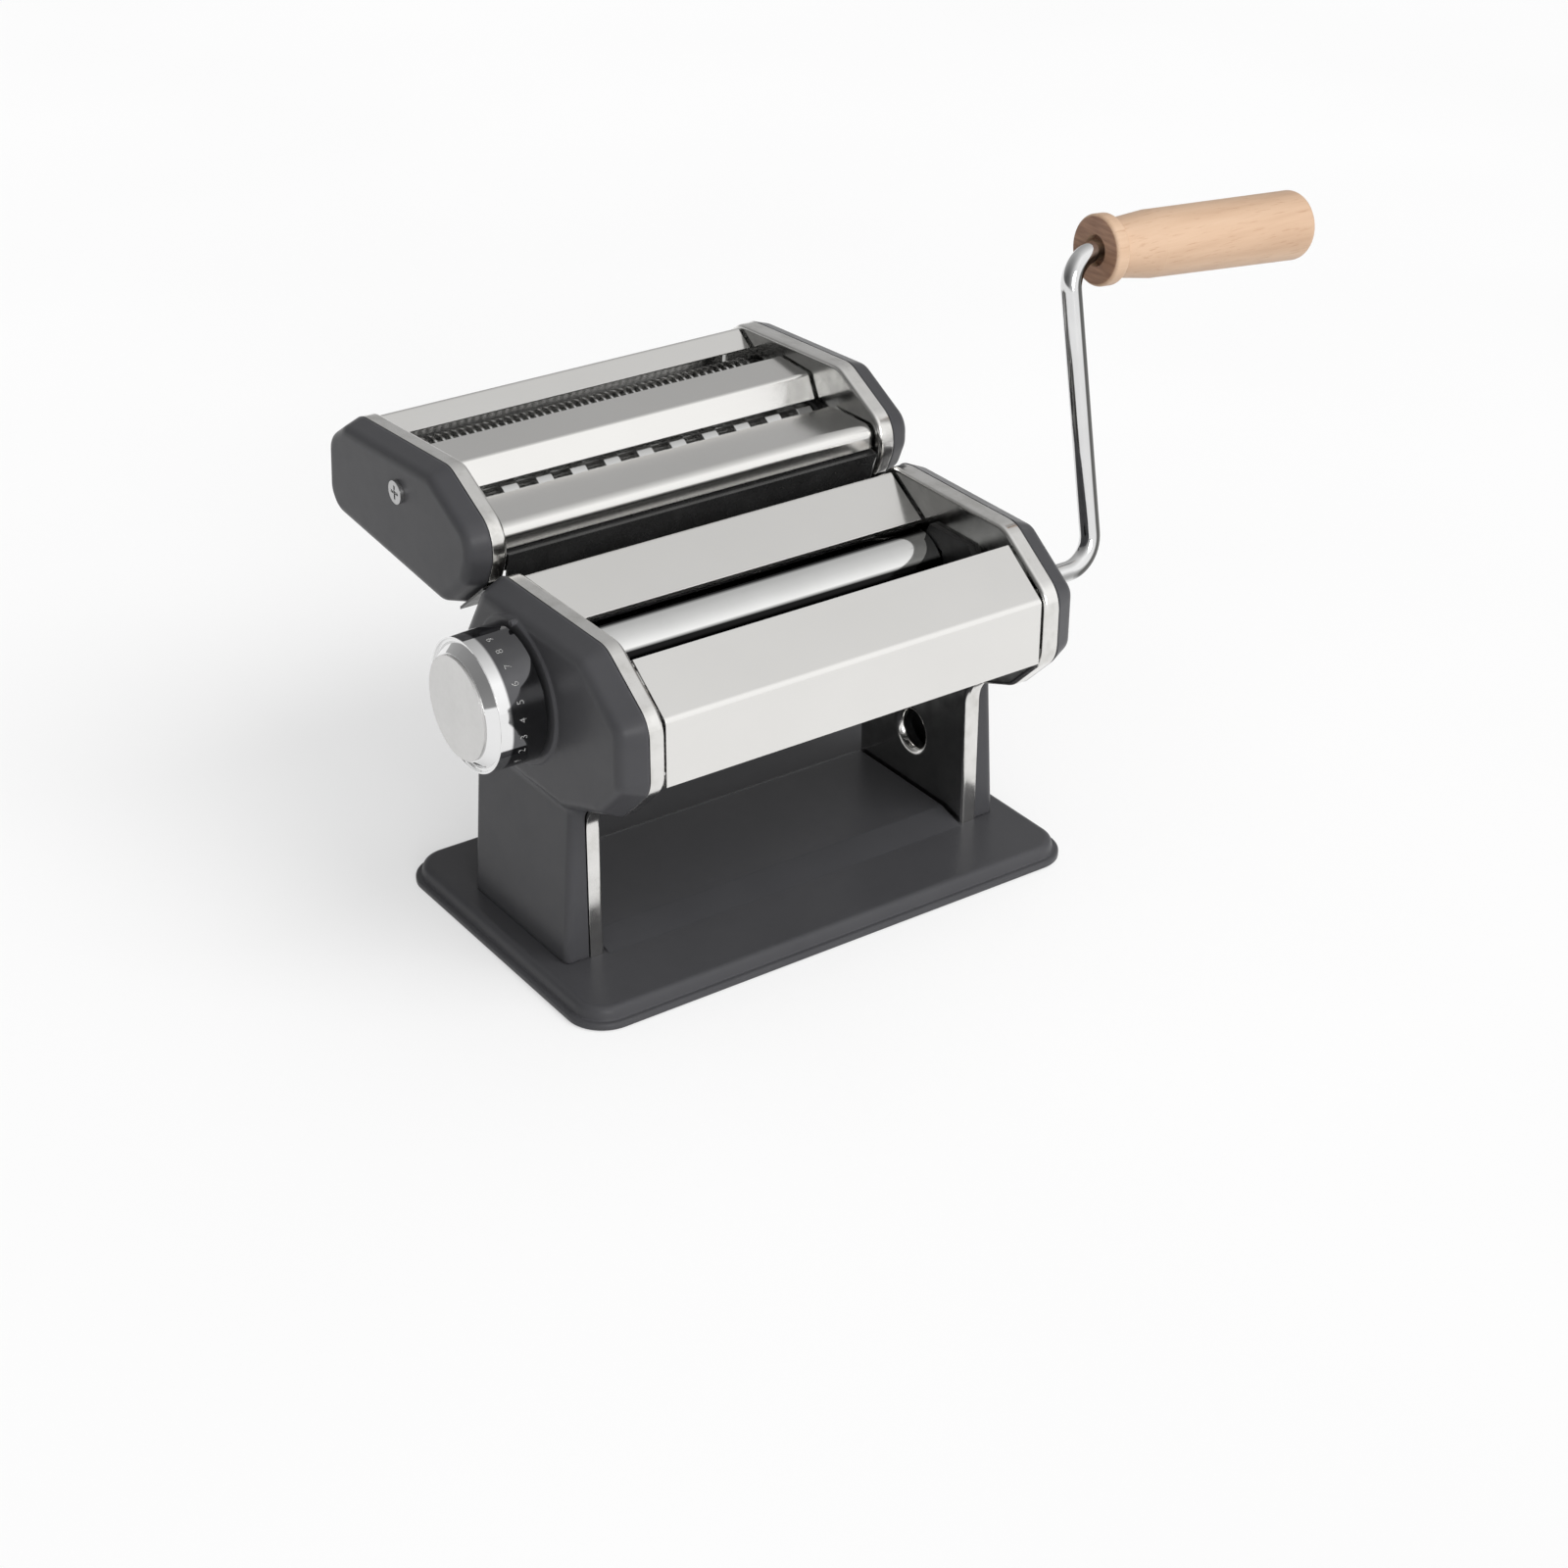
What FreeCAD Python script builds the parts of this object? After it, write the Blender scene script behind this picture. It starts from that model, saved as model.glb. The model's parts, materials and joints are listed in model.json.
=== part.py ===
import FreeCAD, Part
import math
import os
import Sketcher
from types import SimpleNamespace

# Hand-cranked pasta roller with a two-width cutter unit on its back.
# Frame: X runs along the rollers (dial at -X, crank at +X), the front is -Y, Z is up.
# The origin is the middle of the base, on the ground under the rubber feet.

DIMENSIONS = [
    # base
    ("base_reach", 10.5, "base beyond an end cover"),
    ("base_depth", 122.0, "base over its lower bead, front to back"),
    ("base_corner", 13.0, "corner radius of the base"),
    ("base_lift", 0.5, "gap under the bead"),
    ("base_top", 7.0, "height of the flat top of the base"),
    ("bead_height", 2.2, "height of the lower bead"),
    ("bead_step", 1.6, "bead beyond the wall above it"),
    ("base_draft", 14.0, "slope of the base wall, degrees"),
    ("base_sheet", 1.2, "sheet of the base"),
    ("base_edge", 2.4, "rounding of the top edge of the base"),
    ("deck_rise", 3.0, "raised deck between the legs"),
    ("deck_gap", 1.0, "raised deck to a side plate"),
    ("deck_front", 20.0, "front edge of the deck, ahead of the middle"),
    ("deck_rear", 28.0, "rear edge of the deck, behind the middle"),
    ("deck_front_slope", 11.0, "depth of the deck's front slope"),
    ("deck_rear_slope", 5.0, "depth of the deck's rear slope"),
    ("mat_sheet", 2.0, "thickness of the rubber mat"),
    ("mat_gap", 0.3, "gap round the rubber mat"),
    ("foot_radius", 6.0, "posts of the rubber mat"),
    ("foot_inset", 16.0, "posts from the edges of the base"),
    # side plates
    ("plate_inner", 72.5, "inner face of a side plate from the middle"),
    ("plate_sheet", 1.2, "sheet of the side plates"),
    ("rim_width", 5.5, "rim of a side plate, along the rollers"),
    ("rim_bend", 1.5, "outer bend radius of the rim"),
    ("rim_corner", 11.0, "corner radius of the plate outline"),
    ("body_top", 125.4, "top of the side plates"),
    ("body_top_rear", 17.0, "rear end of the top edge"),
    ("body_top_front", 45.0, "front end of the top edge, ahead of the middle"),
    ("body_front", 68.5, "front edge, ahead of the middle"),
    ("slope_drop", 16.4, "foot of the sloping front edge below the top"),
    ("chin_drop", 39.4, "lower end of the upright front edge below the top"),
    ("body_chin_y", 53.0, "rear end of the chin, ahead of the middle"),
    ("chin_low_drop", 54.9, "lower end of the chin below the top"),
    ("rear_bulge", 4.0, "rear edge of the body behind the leg"),
    ("rear_drop", 27.4, "upper end of the upright rear edge below the top"),
    ("rear_low_drop", 47.4, "lower end of the upright rear edge below the top"),
    ("leg_half", 30.0, "half depth of a leg"),
    ("leg_drop", 63.4, "top of a leg below the top of the side plates"),
    ("socket_bore", 13.6, "clamp socket in a leg"),
    ("socket_rim", 20.0, "outside of the socket's collar"),
    ("socket_flare", 2.8, "rounded mouth of the socket"),
    ("socket_z", 30.5, "height of the clamp socket"),
    # end covers
    ("cover_gap", 0.3, "seam between rim and cover"),
    ("cover_depth", 8.7, "depth of an end cover"),
    ("cover_draft", 24.0, "slope of the cover's wall, degrees"),
    ("cover_wall", 2.2, "wall of a cover"),
    ("cover_corner", 9.0, "corner radius of a cover at its seam"),
    ("cover_round", 4.2, "rounding of the cover's edge"),
    ("leg_low_depth", 8.5, "depth of the cover's leg at the base"),
    ("leg_high_depth", 4.6, "depth of the cover's leg under the body"),
    ("leg_step", 0.4, "cover's leg inside the plate's leg, front and back"),
    ("cover_blend", 5.0, "rounding where the cover's leg meets its pod"),
    ("cover_leg_round", 2.5, "rounding of the leg's upright edges"),
    ("cover_foot_gap", 0.3, "cover above the base"),
    ("dial_boss", 25.0, "radius of the raised seat round the dial knob"),
    ("dial_boss_rise", 0.9, "height of that seat"),
    ("dial_boss_draft", 30.0, "slope of that seat's edge, degrees"),
    ("index_nub", 1.1, "radius of the nub the dial is read at"),
    # panels
    ("panel_gap", 0.9, "bright panel to a side plate"),
    ("panel_sheet", 0.8, "sheet of the bright panels"),
    ("panel_bend", 3.0, "outer bend radius of the panels"),
    ("front_top_inset", 4.4, "top edge of the front panel ahead of the top edge"),
    ("front_top_drop", 4.6, "top edge of the front panel below the side plates"),
    ("front_bend_inset", 1.2, "bend of the front panel behind the front edge"),
    ("front_bend_drop", 17.8, "bend of the front panel below the side plates"),
    ("front_low_drop", 40.1, "lower edge of the front panel below the side plates"),
    ("front_lip", 4.0, "folded lips of the front panel"),
    ("feed_top_inset", 2.2, "top edge of the feed panel ahead of the body's rear top"),
    ("feed_top_drop", 1.4, "top edge of the feed panel below the side plates"),
    ("feed_low_y", 3.6, "lower edge of the feed panel, ahead of the middle"),
    ("feed_low_drop", 12.8, "lower edge of the feed panel below the side plates"),
    ("feed_lip", 10.0, "folded lip behind the feed panel"),
    # rollers
    ("roller_radius", 14.2, "smooth rollers"),
    ("roller_gap", 2.5, "smooth roller to a side plate"),
    ("roller_drop", 29.4, "roller axes below the top of the side plates"),
    ("adjust_y", -5.0, "axis of the adjustable roller with the gap wide open"),
    ("gap_wide", 2.4, "roller gap, wide open"),
    ("throw", 1.19, "throw of the adjusting shaft"),
    ("throw_angle", -22.5, "throw above the level, wide open, degrees"),
    ("fit", 0.05, "radial running fit"),
    ("journal", 7.0, "radius of the drive roller's journals"),
    ("adjust_journal", 8.0, "radius of the adjustable roller's journal"),
    ("bush_wall", 1.6, "wall of a bearing bush"),
    ("bush_flange", 1.5, "thickness of a bush flange"),
    ("shaft_radius", 4.5, "adjusting shaft"),
    ("shaft_bush", 6.0, "outer radius of the bushes on the adjusting shaft"),
    ("guide_rise", 3.2, "dough guide above the rollers"),
    ("guide_drop", 4.0, "shoulder of a dough guide below the roller tops"),
    ("guide_top_front", 10.0, "front end of a dough guide's top, ahead of the nip"),
    ("guide_top_rear", 11.0, "rear end of a dough guide's top, behind the nip"),
    ("guide_half", 14.0, "half width of a dough guide"),
    ("guide_lean", 2.0, "ends of a dough guide's shoulder above its middle"),
    ("guide_root", 4.0, "half width of a guide's tongue at its root"),
    ("guide_tip", 2.0, "half width of a guide's tongue at its tip"),
    ("guide_tip_rise", 1.0, "tip of a guide's tongue above the roller axes"),
    ("guide_gap", 0.5, "dough guide to the ends of the rollers"),
    ("scraper_width", 6.0, "scraper bar, front to back"),
    ("scraper_height", 5.0, "height of a scraper bar"),
    ("scraper_gap", 0.5, "scraper or stripper bar to its roller"),
    ("bridge_half", 7.0, "half height of the bearing bridge"),
    ("bridge_post", 4.0, "posts of the bridge, above and below its middle"),
    ("bridge_reach", 21.3, "posts of the bridge behind the adjusting shaft"),
    ("bridge_gap", 2.0, "bridge to the gears"),
    ("end_play", 0.5, "rollers to what stands at their ends"),
    # gears
    ("gear_face", 4.0, "width of the gears"),
    ("gear_gap", 1.9, "gears to the outer face of the side plate"),
    ("roller_gear_tip", 15.9, "tip radius of the roller gears"),
    ("roller_gear_root", 12.2, "root radius of the roller gears"),
    ("cutter_gear_tip", 8.9, "tip radius of the cutter gears"),
    ("cutter_gear_root", 7.0, "root radius of the cutter gears"),
    ("tooth_tip", 1.1, "tooth width at the tip"),
    ("tooth_root", 2.2, "tooth width at the root"),
    # dial knob
    ("knob_rim", 21.9, "radius of the knob"),
    ("knob_base_radius", 22.2, "radius of the knob at its base"),
    ("knob_face", 17.0, "radius of the knob's flat face"),
    ("knob_gap", 2.4, "knob to the end cover"),
    ("knob_rim_depth", 17.5, "front rim of the knob from the end cover"),
    ("knob_depth", 21.6, "flat face of the knob from the end cover"),
    ("knob_wall", 2.4, "wall of the knob"),
    ("knob_hub", 7.0, "radius of the knob's hub"),
    ("knob_spigot", 5.46, "radius of the shaft's end in the knob's hub"),
    ("knob_square", 2.925, "half width of the square that turns the shaft"),
    ("knob_square_end", 8.0, "end of the square from the knob's face"),
    # crank
    ("crank_rod", 3.5, "radius of the crank rod"),
    ("crank_insert", 3.0, "inner end of the crank rod inside the side plate"),
    ("crank_offset", 33.0, "crank arm from the end cover"),
    ("crank_arm", 104.2, "crank arm, axis to grip"),
    ("crank_bend", 11.0, "bend radius of the crank rod"),
    ("crank_lean", 11.4, "lean of the crank arm to the back, degrees"),
    ("grip_droop", 5.0, "droop of the grip, degrees"),
    ("grip_offset", 11.0, "inner face of the grip from the crank arm"),
    ("grip_length", 89.0, "length of the grip"),
    ("grip_flange", 11.9, "radius of the grip's flange"),
    ("grip_flange_width", 4.9, "width of the grip's flange"),
    ("grip_neck", 9.6, "radius of the grip's neck"),
    ("grip_step", 1.8, "flange to neck, along the grip"),
    ("grip_swell", 11.3, "radius of the grip where its swell ends"),
    ("grip_swell_at", 22.0, "end of the swell from the grip's face"),
    ("grip_mouth", 5.2, "radius of the recess round the rod"),
    ("grip_mouth_depth", 3.0, "depth of that recess"),
    ("grip_cap_flange", 5.6, "radius of the cap on the rod's end"),
    ("grip_cap_rise", 1.5, "height of that cap"),
    ("grip_body", 11.9, "radius of the grip at its far end"),
    ("socket_journal", 6.0, "outer radius of a crank socket"),
    ("socket_reach", 11.5, "outer end of a crank socket from the side plate"),
    ("socket_depth", 16.0, "depth of a crank socket"),
    ("drill_point", 2.1, "drilled point below the wall of a crank socket"),
    ("socket_slot", 2.8, "slot for the crank's cross pin"),
    ("cross_pin", 1.1, "radius of the crank's cross pin"),
    # cutter unit
    ("cut_front_gap", 4.5, "front of the cutter's side plates behind the body's top"),
    ("cut_nose_rise", 12.1, "upper end of the upright front edge above the body"),
    ("cut_nose_low_rise", 1.6, "lower end of the upright front edge above the body"),
    ("cut_crown_run", 25.2, "front end of the top edge behind the front"),
    ("cut_crown_rise", 25.3, "front end of the top edge above the body"),
    ("cut_back_run", 16.4, "rear end of the top edge behind the fine cutters"),
    ("cut_back_rise", 22.1, "rear end of the top edge above the body"),
    ("cut_tail_run", 29.0, "upper end of the rear edge behind the fine cutters"),
    ("cut_tail_rise", 13.6, "upper end of the rear edge above the body"),
    ("cut_rear_run", 31.0, "lower end of the rear edge behind the fine cutters"),
    ("cut_rear_drop", 7.4, "lower end of the rear edge below the body's top"),
    ("cut_heel_run", 25.5, "rear end of the bottom edge behind the fine cutters"),
    ("cut_heel_drop", 14.9, "rear end of the bottom edge below the body's top"),
    ("cut_toe_run", 7.5, "front end of the bottom edge behind the body"),
    ("cut_toe_drop", 20.9, "front end of the bottom edge below the body's top"),
    ("cut_slip_run", 4.1, "lower end of the front edge behind the front"),
    ("cut_slip_drop", 7.9, "lower end of the front edge below the body's top"),
    ("cap_depth", 7.7, "depth of a cutter cap"),
    ("cap_draft", 18.0, "slope of the cap's wall, degrees"),
    ("cutter_radius", 9.0, "cutting discs"),
    ("cutter_core", 6.8, "core between the cutting discs"),
    ("cutter_space", 16.4, "between the axes of a pair of cutters"),
    ("cutter_gap", 2.5, "cutter to a side plate"),
    ("wide_run", 32.0, "nip of the wide cutters behind the front"),
    ("wide_drop", 0.4, "axes of the wide cutters below the body's top"),
    ("wide_pitch", 13.0, "pitch of the wide discs, two strips of 6.5 mm"),
    ("wide_disc", 5.9, "width of a wide disc"),
    ("wide_shift", 1.2, "wide discs of the rear cutter off the middle"),
    ("fine_run", 36.5, "nip of the fine cutters behind the wide ones"),
    ("fine_rise", 3.1, "axes of the fine cutters above the body's top"),
    ("fine_pitch", 3.0, "pitch of the fine discs, two strands of 1.5 mm"),
    ("fine_disc", 0.9, "width of a fine disc"),
    ("rear_guard_run", 8.3, "front edge of the rear guard behind the fine nip"),
    ("rear_guard_rise", 15.8, "front edge of the rear guard above the body's top"),
    ("fine_slot_run", 8.4, "rear edge of the middle guard ahead of the fine nip"),
    ("wide_slot_run", 5.0, "front edge of the middle guard behind the wide nip"),
    ("middle_guard_rise", 18.7, "top of the middle guard above the body's top"),
    ("front_guard_run", 4.7, "rear edge of the front guard ahead of the wide nip"),
    ("front_guard_inset", 3.8, "nose of the front guard behind the front"),
    ("front_guard_rise", 10.8, "top of the front guard above the body's top"),
    ("rear_guard_inset", 3.0, "rear guard inside the rear edge of the cutter's plates"),
    ("middle_lip_run", 2.1, "rear lip of the middle guard, front to back"),
    ("middle_lip_drop", 4.6, "rear lip of the middle guard, height"),
    ("middle_slope_run", 4.1, "front slope of the middle guard, front to back"),
    ("middle_slope_drop", 9.1, "foot of the middle guard's front slope below its top"),
    ("middle_guard_fall", 0.9, "fall of the middle guard's top to the front"),
    ("front_guard_fall", 0.6, "fall of the front guard's top to the back"),
    ("front_guard_lip", 8.0, "height of the front guard's nose"),
    ("cap_corner", 10.0, "corner radius of a cutter cap at its seam"),
    ("cap_round", 3.6, "rounding of a cutter cap's edge"),
    ("hanger_reach", 2.0, "hanger beyond the rims of the cutter's plates"),
    ("hanger_gap", 0.5, "hanger below the cutter's side plates"),
    ("hanger_sheet", 1.0, "sheet of the hanger"),
    ("tongue_inset", 22.5, "inner edge of a hanger tongue from the side plate"),
    ("hanger_fold", 1.5, "fold of the hanger behind the cutter's front"),
    ("hanger_flange", 7.0, "flange above the hanger's fold, front to back"),
    ("hanger_flange_rise", 1.2, "rise of that flange"),
    ("tongue_height", 8.0, "height of a hanger tongue"),
    ("tongue_width", 12.0, "width of a hanger tongue"),
    ("tongue_sheet", 1.8, "thickness of a hanger tongue"),
    ("tongue_back", 2.3, "front face of a hanger tongue ahead of the body's rear"),
    ("tongue_drop", 22.0, "lower end of a hanger tongue below the body's top"),
    ("keeper_wall", 3.0, "wall of a keeper round its slot"),
    ("keeper_low_drop", 24.9, "lower end of a keeper below the body's top"),
    ("keeper_high_drop", 13.4, "upper end of a keeper below the body's top"),
    ("rod_radius", 3.0, "tie rods"),
    ("cutter_rod_run", 4.5, "lower tie rod of the cutter unit behind the cap screws"),
    ("cutter_rod_rise", 3.5, "that rod above the bottom edge"),
    ("rear_rod_inset", 8.0, "rear tie rod of the cutter unit inside the rear edge"),
    ("rear_rod_rise", 1.5, "that rod above the lower end of the rear edge"),
    ("stripper_width", 5.0, "stripper bar, front to back"),
    ("stripper_height", 4.0, "height of a stripper bar"),
    ("screw_head", 4.0, "radius of a cap screw's head"),
    ("screw_run", 14.5, "cap screw behind the wide nip"),
    ("screw_rise", 10.6, "cap screw above the body's top"),
]


class Size:
    """A length that carries its value and the sheet expression it comes from."""

    def __init__(self, text, value):
        self.text = text
        self.value = value

    @staticmethod
    def of(thing):
        if isinstance(thing, Size):
            return thing
        return Size(repr(float(thing)), float(thing))

    def _join(self, other, sign, value):
        return Size(f"({self.text} {sign} {Size.of(other).text})", value)

    def __add__(self, other):
        return self._join(other, "+", self.value + Size.of(other).value)

    def __sub__(self, other):
        return self._join(other, "-", self.value - Size.of(other).value)

    def __rsub__(self, other):
        return Size.of(other) - self

    def __mul__(self, other):
        return self._join(other, "*", self.value * Size.of(other).value)

    def __truediv__(self, other):
        return self._join(other, "/", self.value / Size.of(other).value)

    def __neg__(self):
        return Size(f"(-1 * {self.text})", -self.value)

    __radd__ = __add__
    __rmul__ = __mul__


doc = FreeCAD.newDocument("pasta_machine")
sheet = doc.addObject("Spreadsheet::Sheet", "dims")
for row, (name, value, note) in enumerate(DIMENSIONS, 1):
    sheet.set(f"A{row}", note)
    sheet.set(f"B{row}", str(value))
    sheet.setAlias(f"B{row}", name)
doc.recompute()
d = SimpleNamespace(**{name: Size(f"dims.{name}", value) for name, value, note in DIMENSIONS})

ZERO = Size.of(0)
LEFT = -1
RIGHT = 1
nodes = []


def cosine(angle):
    return Size(f"cos({angle.text} * 1deg)", math.cos(math.radians(angle.value)))


def sine(angle):
    return Size(f"sin({angle.text} * 1deg)", math.sin(math.radians(angle.value)))


def bind(thing, prop, size):
    thing.setExpression(prop, Size.of(size).text)


def place(thing, x, y, z, rotation=None):
    """Puts an object at a bound place, turned by a fixed rotation."""
    base = FreeCAD.Vector(*(Size.of(v).value for v in (x, y, z)))
    thing.Placement = FreeCAD.Placement(base, rotation or FreeCAD.Rotation())
    for axis, size in zip("xyz", (x, y, z)):
        bind(thing, f"Placement.Base.{axis}", size)


def new_body(label):
    body = doc.addObject("PartDesign::Body", label)
    body.Label = label
    nodes.append(body)
    return body


def x_axis(body):
    return next(f for f in body.Origin.OriginFeatures if f.Role == "X_Axis")


def new_sketch(body, role, offset=ZERO):
    """A sketch on one of the body's own planes, moved along that plane's normal."""
    sketch = body.newObject("Sketcher::SketchObject", body.Name + "_sketch")
    plane = next(f for f in body.Origin.OriginFeatures if f.Role == role)
    sketch.AttachmentSupport = [(plane, "")]
    sketch.MapMode = "FlatFace"
    bind(sketch, "AttachmentOffset.Base.z", offset)
    return sketch


def constrain(sketch, size, kind, *refs):
    """Adds a dimension to a sketch and binds it to the sheet."""
    size = Size.of(size)
    index = sketch.addConstraint(Sketcher.Constraint(kind, *refs, size.value))
    sketch.setExpression(f"Constraints[{index}]", size.text)


def draw_polygon(sketch, points):
    """A closed outline whose every corner has its own two dimensions."""
    points = [(Size.of(a), Size.of(b)) for a, b in points]
    spots = [FreeCAD.Vector(a.value, b.value, 0) for a, b in points]
    first = sketch.GeometryCount
    count = len(spots)
    for i, spot in enumerate(spots):
        sketch.addGeometry(Part.LineSegment(spot, spots[(i + 1) % count]), False)
    for i in range(count):
        after = first + (i + 1) % count
        sketch.addConstraint(Sketcher.Constraint("Coincident", first + i, 2, after, 1))
    for i, (a, b) in enumerate(points):
        constrain(sketch, a, "DistanceX", -1, 1, first + i, 1)
        constrain(sketch, b, "DistanceY", -1, 1, first + i, 1)


def draw_rectangle(sketch, x0, x1, y0, y1):
    draw_polygon(sketch, [(x0, y0), (x1, y0), (x1, y1), (x0, y1)])


def draw_rounded_rectangle(sketch, half_x, half_y, radius):
    """A rectangle about the sketch's middle with tangent corner arcs."""
    flat_x = half_x.value - radius.value
    flat_y = half_y.value - radius.value
    corners = [(flat_x, -flat_y), (flat_x, flat_y), (-flat_x, flat_y), (-flat_x, -flat_y)]
    up = FreeCAD.Vector(0, 0, 1)
    arcs = []
    for turn, (x, y) in enumerate(corners, -1):
        start = math.radians(90 * turn)
        circle = Part.Circle(FreeCAD.Vector(x, y, 0), up, radius.value)
        arcs.append(sketch.addGeometry(Part.ArcOfCircle(circle, start, start + math.pi / 2), False))
    lines = []
    for i, arc in enumerate(arcs):
        ends = sketch.getPoint(arc, 2), sketch.getPoint(arcs[(i + 1) % 4], 1)
        lines.append(sketch.addGeometry(Part.LineSegment(*ends), False))
    for i, line in enumerate(lines):
        sketch.addConstraint(Sketcher.Constraint("Tangent", arcs[i], 2, line, 1))
        sketch.addConstraint(Sketcher.Constraint("Tangent", line, 2, arcs[(i + 1) % 4], 1))
    for arc in arcs:
        constrain(sketch, radius, "Radius", arc)
    right, top, left, bottom = lines
    for line in (right, left):
        sketch.addConstraint(Sketcher.Constraint("Vertical", line))
    for line in (top, bottom):
        sketch.addConstraint(Sketcher.Constraint("Horizontal", line))
    constrain(sketch, half_x, "DistanceX", -1, 1, right, 1)
    constrain(sketch, -half_x, "DistanceX", -1, 1, left, 1)
    constrain(sketch, half_y, "DistanceY", -1, 1, top, 1)
    constrain(sketch, -half_y, "DistanceY", -1, 1, bottom, 1)


def draw_circle(sketch, x, y, radius):
    x, y, radius = Size.of(x), Size.of(y), Size.of(radius)
    centre = FreeCAD.Vector(x.value, y.value, 0)
    up = FreeCAD.Vector(0, 0, 1)
    circle = sketch.addGeometry(Part.Circle(centre, up, radius.value), False)
    constrain(sketch, x, "DistanceX", -1, 1, circle, 3)
    constrain(sketch, y, "DistanceY", -1, 1, circle, 3)
    constrain(sketch, radius, "Radius", circle)


def extrude(body, kind, sketch, length, reverse=False, symmetric=False, taper=None):
    feature = body.newObject("PartDesign::" + kind, body.Name + "_" + kind.lower())
    feature.Profile = sketch
    feature.Reversed = reverse
    if symmetric:
        feature.SideType = "Symmetric"
    bind(feature, "Length", length)
    if taper is not None:
        bind(feature, "TaperAngle", taper)
    doc.recompute()
    return feature


def pad(body, sketch, length, **options):
    return extrude(body, "Pad", sketch, length, **options)


def pocket(body, sketch, length, **options):
    before = body.Shape.Volume
    feature = extrude(body, "Pocket", sketch, length, **options)
    if not body.Shape.Volume < before:
        raise ValueError("a pocket misses " + body.Label)
    return feature


def sloping_pad(body, sketch, length, corner, draft, reverse):
    """A round-cornered pad along X whose walls lean inwards from the sketch's plane."""
    block = pad(body, sketch, length, reverse=reverse)
    block = fillet(body, block, corner, along_x)
    lean = body.newObject("PartDesign::Draft", body.Name + "_draft")
    box = block.Shape.BoundBox
    near, far = (box.XMax, box.XMin) if reverse else (box.XMin, box.XMax)
    lean.Base = (block, face_names(block, lambda f: not on_plane(f, "X", near) and not on_plane(f, "X", far)))
    lean.NeutralPlane = (block, face_names(block, lambda f: on_plane(f, "X", near)))
    lean.Reversed = reverse
    bind(lean, "Angle", draft)
    doc.recompute()
    lean.touch()
    doc.recompute()
    return lean


def edge_names(feature, test):
    return [f"Edge{i}" for i, edge in enumerate(feature.Shape.Edges, 1) if test(edge)]


def face_names(feature, test):
    return [f"Face{i}" for i, face in enumerate(feature.Shape.Faces, 1) if test(face)]


def fillet(body, feature, radius, test):
    names = edge_names(feature, test)
    rounding = body.newObject("PartDesign::Fillet", body.Name + "_fillet")
    rounding.Base = (feature, names)
    bind(rounding, "Radius", radius)
    doc.recompute()
    return rounding


def hollow(body, feature, sheet_size, test):
    """Leaves a sheet of even thickness and opens the faces that pass the test."""
    skin = body.newObject("PartDesign::Thickness", body.Name + "_skin")
    skin.Base = (feature, face_names(feature, test))
    skin.Join = "Intersection"
    skin.Reversed = True
    bind(skin, "Value", sheet_size)
    doc.recompute()
    return skin


def along_x(edge):
    ends = edge.Vertexes
    if len(ends) != 2 or edge.Curve.TypeId != "Part::GeomLine":
        return False
    run = ends[1].Point - ends[0].Point
    return abs(run.y) < 1e-6 and abs(run.z) < 1e-6


def on_plane(thing, axis, place_on):
    """True where an edge or face lies whole on a plane square to an axis."""
    box = thing.BoundBox
    low = getattr(box, axis + "Min")
    high = getattr(box, axis + "Max")
    return abs(low - place_on) < 1e-4 and abs(high - place_on) < 1e-4


def turned(label, points, y, z):
    """A body of revolution about a line along X; points are (x, radius)."""
    body = new_body(label)
    spin(body, "Revolution", points)
    place(body, 0, y, z)
    return body


def spin(body, kind, points):
    sketch = new_sketch(body, "XZ_Plane")
    draw_polygon(sketch, points)
    feature = body.newObject("PartDesign::" + kind, body.Name + "_" + kind.lower())
    feature.Profile = sketch
    feature.ReferenceAxis = (sketch, ["H_Axis"])
    feature.Angle = 360
    doc.recompute()
    return feature


def rod_x(name, radius, x0, length, y, z):
    rod = doc.addObject("Part::Cylinder", name)
    bind(rod, "Radius", radius)
    bind(rod, "Height", length)
    place(rod, x0, y, z, FreeCAD.Rotation(FreeCAD.Vector(0, 1, 0), 90))
    return rod


def ring_x(name, outer, inner, x0, length, y, z):
    ring = doc.addObject("Part::Cut", name)
    ring.Base = rod_x(name + "_outer", outer, x0, length, y, z)
    ring.Tool = rod_x(name + "_bore", inner, x0 - 1, length + 2, y, z)
    return ring


def box_at(name, x0, y0, z0, length, width, height):
    box = doc.addObject("Part::Box", name)
    bind(box, "Length", length)
    bind(box, "Width", width)
    bind(box, "Height", height)
    place(box, x0, y0, z0)
    return box


def gather(label, things):
    """One node of several loose, alike pieces."""
    group = doc.addObject("Part::Compound", label)
    group.Label = label
    group.Links = things
    nodes.append(group)
    return group


def turn_about_x(angle):
    return FreeCAD.Rotation(FreeCAD.Vector(1, 0, 0), angle)


def side_name(side):
    return "left" if side == LEFT else "right"


# places along the rollers, from the inner faces of the side plates
plate_outer = d.plate_inner + d.plate_sheet
rim_outer = d.plate_inner + d.rim_width
cover_inner = rim_outer + d.cover_gap
cover_outer = cover_inner + d.cover_depth
cover_leg_low = cover_inner + d.leg_low_depth
cover_leg_high = cover_inner + d.leg_high_depth
cap_outer = cover_inner + d.cap_depth
deck_half = d.plate_inner - d.deck_gap
panel_half = d.plate_inner - d.panel_gap
roller_half = d.plate_inner - d.roller_gap
cutter_half = d.plate_inner - d.cutter_gap
gear_start = plate_outer + d.gear_gap
socket_end = plate_outer + d.socket_reach
knob_seat = cover_outer + d.knob_gap
knob_rim_x = cover_outer + d.knob_rim_depth
knob_front = cover_outer + d.knob_depth
crank_inner = d.plate_inner - d.crank_insert
crank_plane = cover_outer + d.crank_offset
grip_start = crank_plane + d.grip_offset
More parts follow.
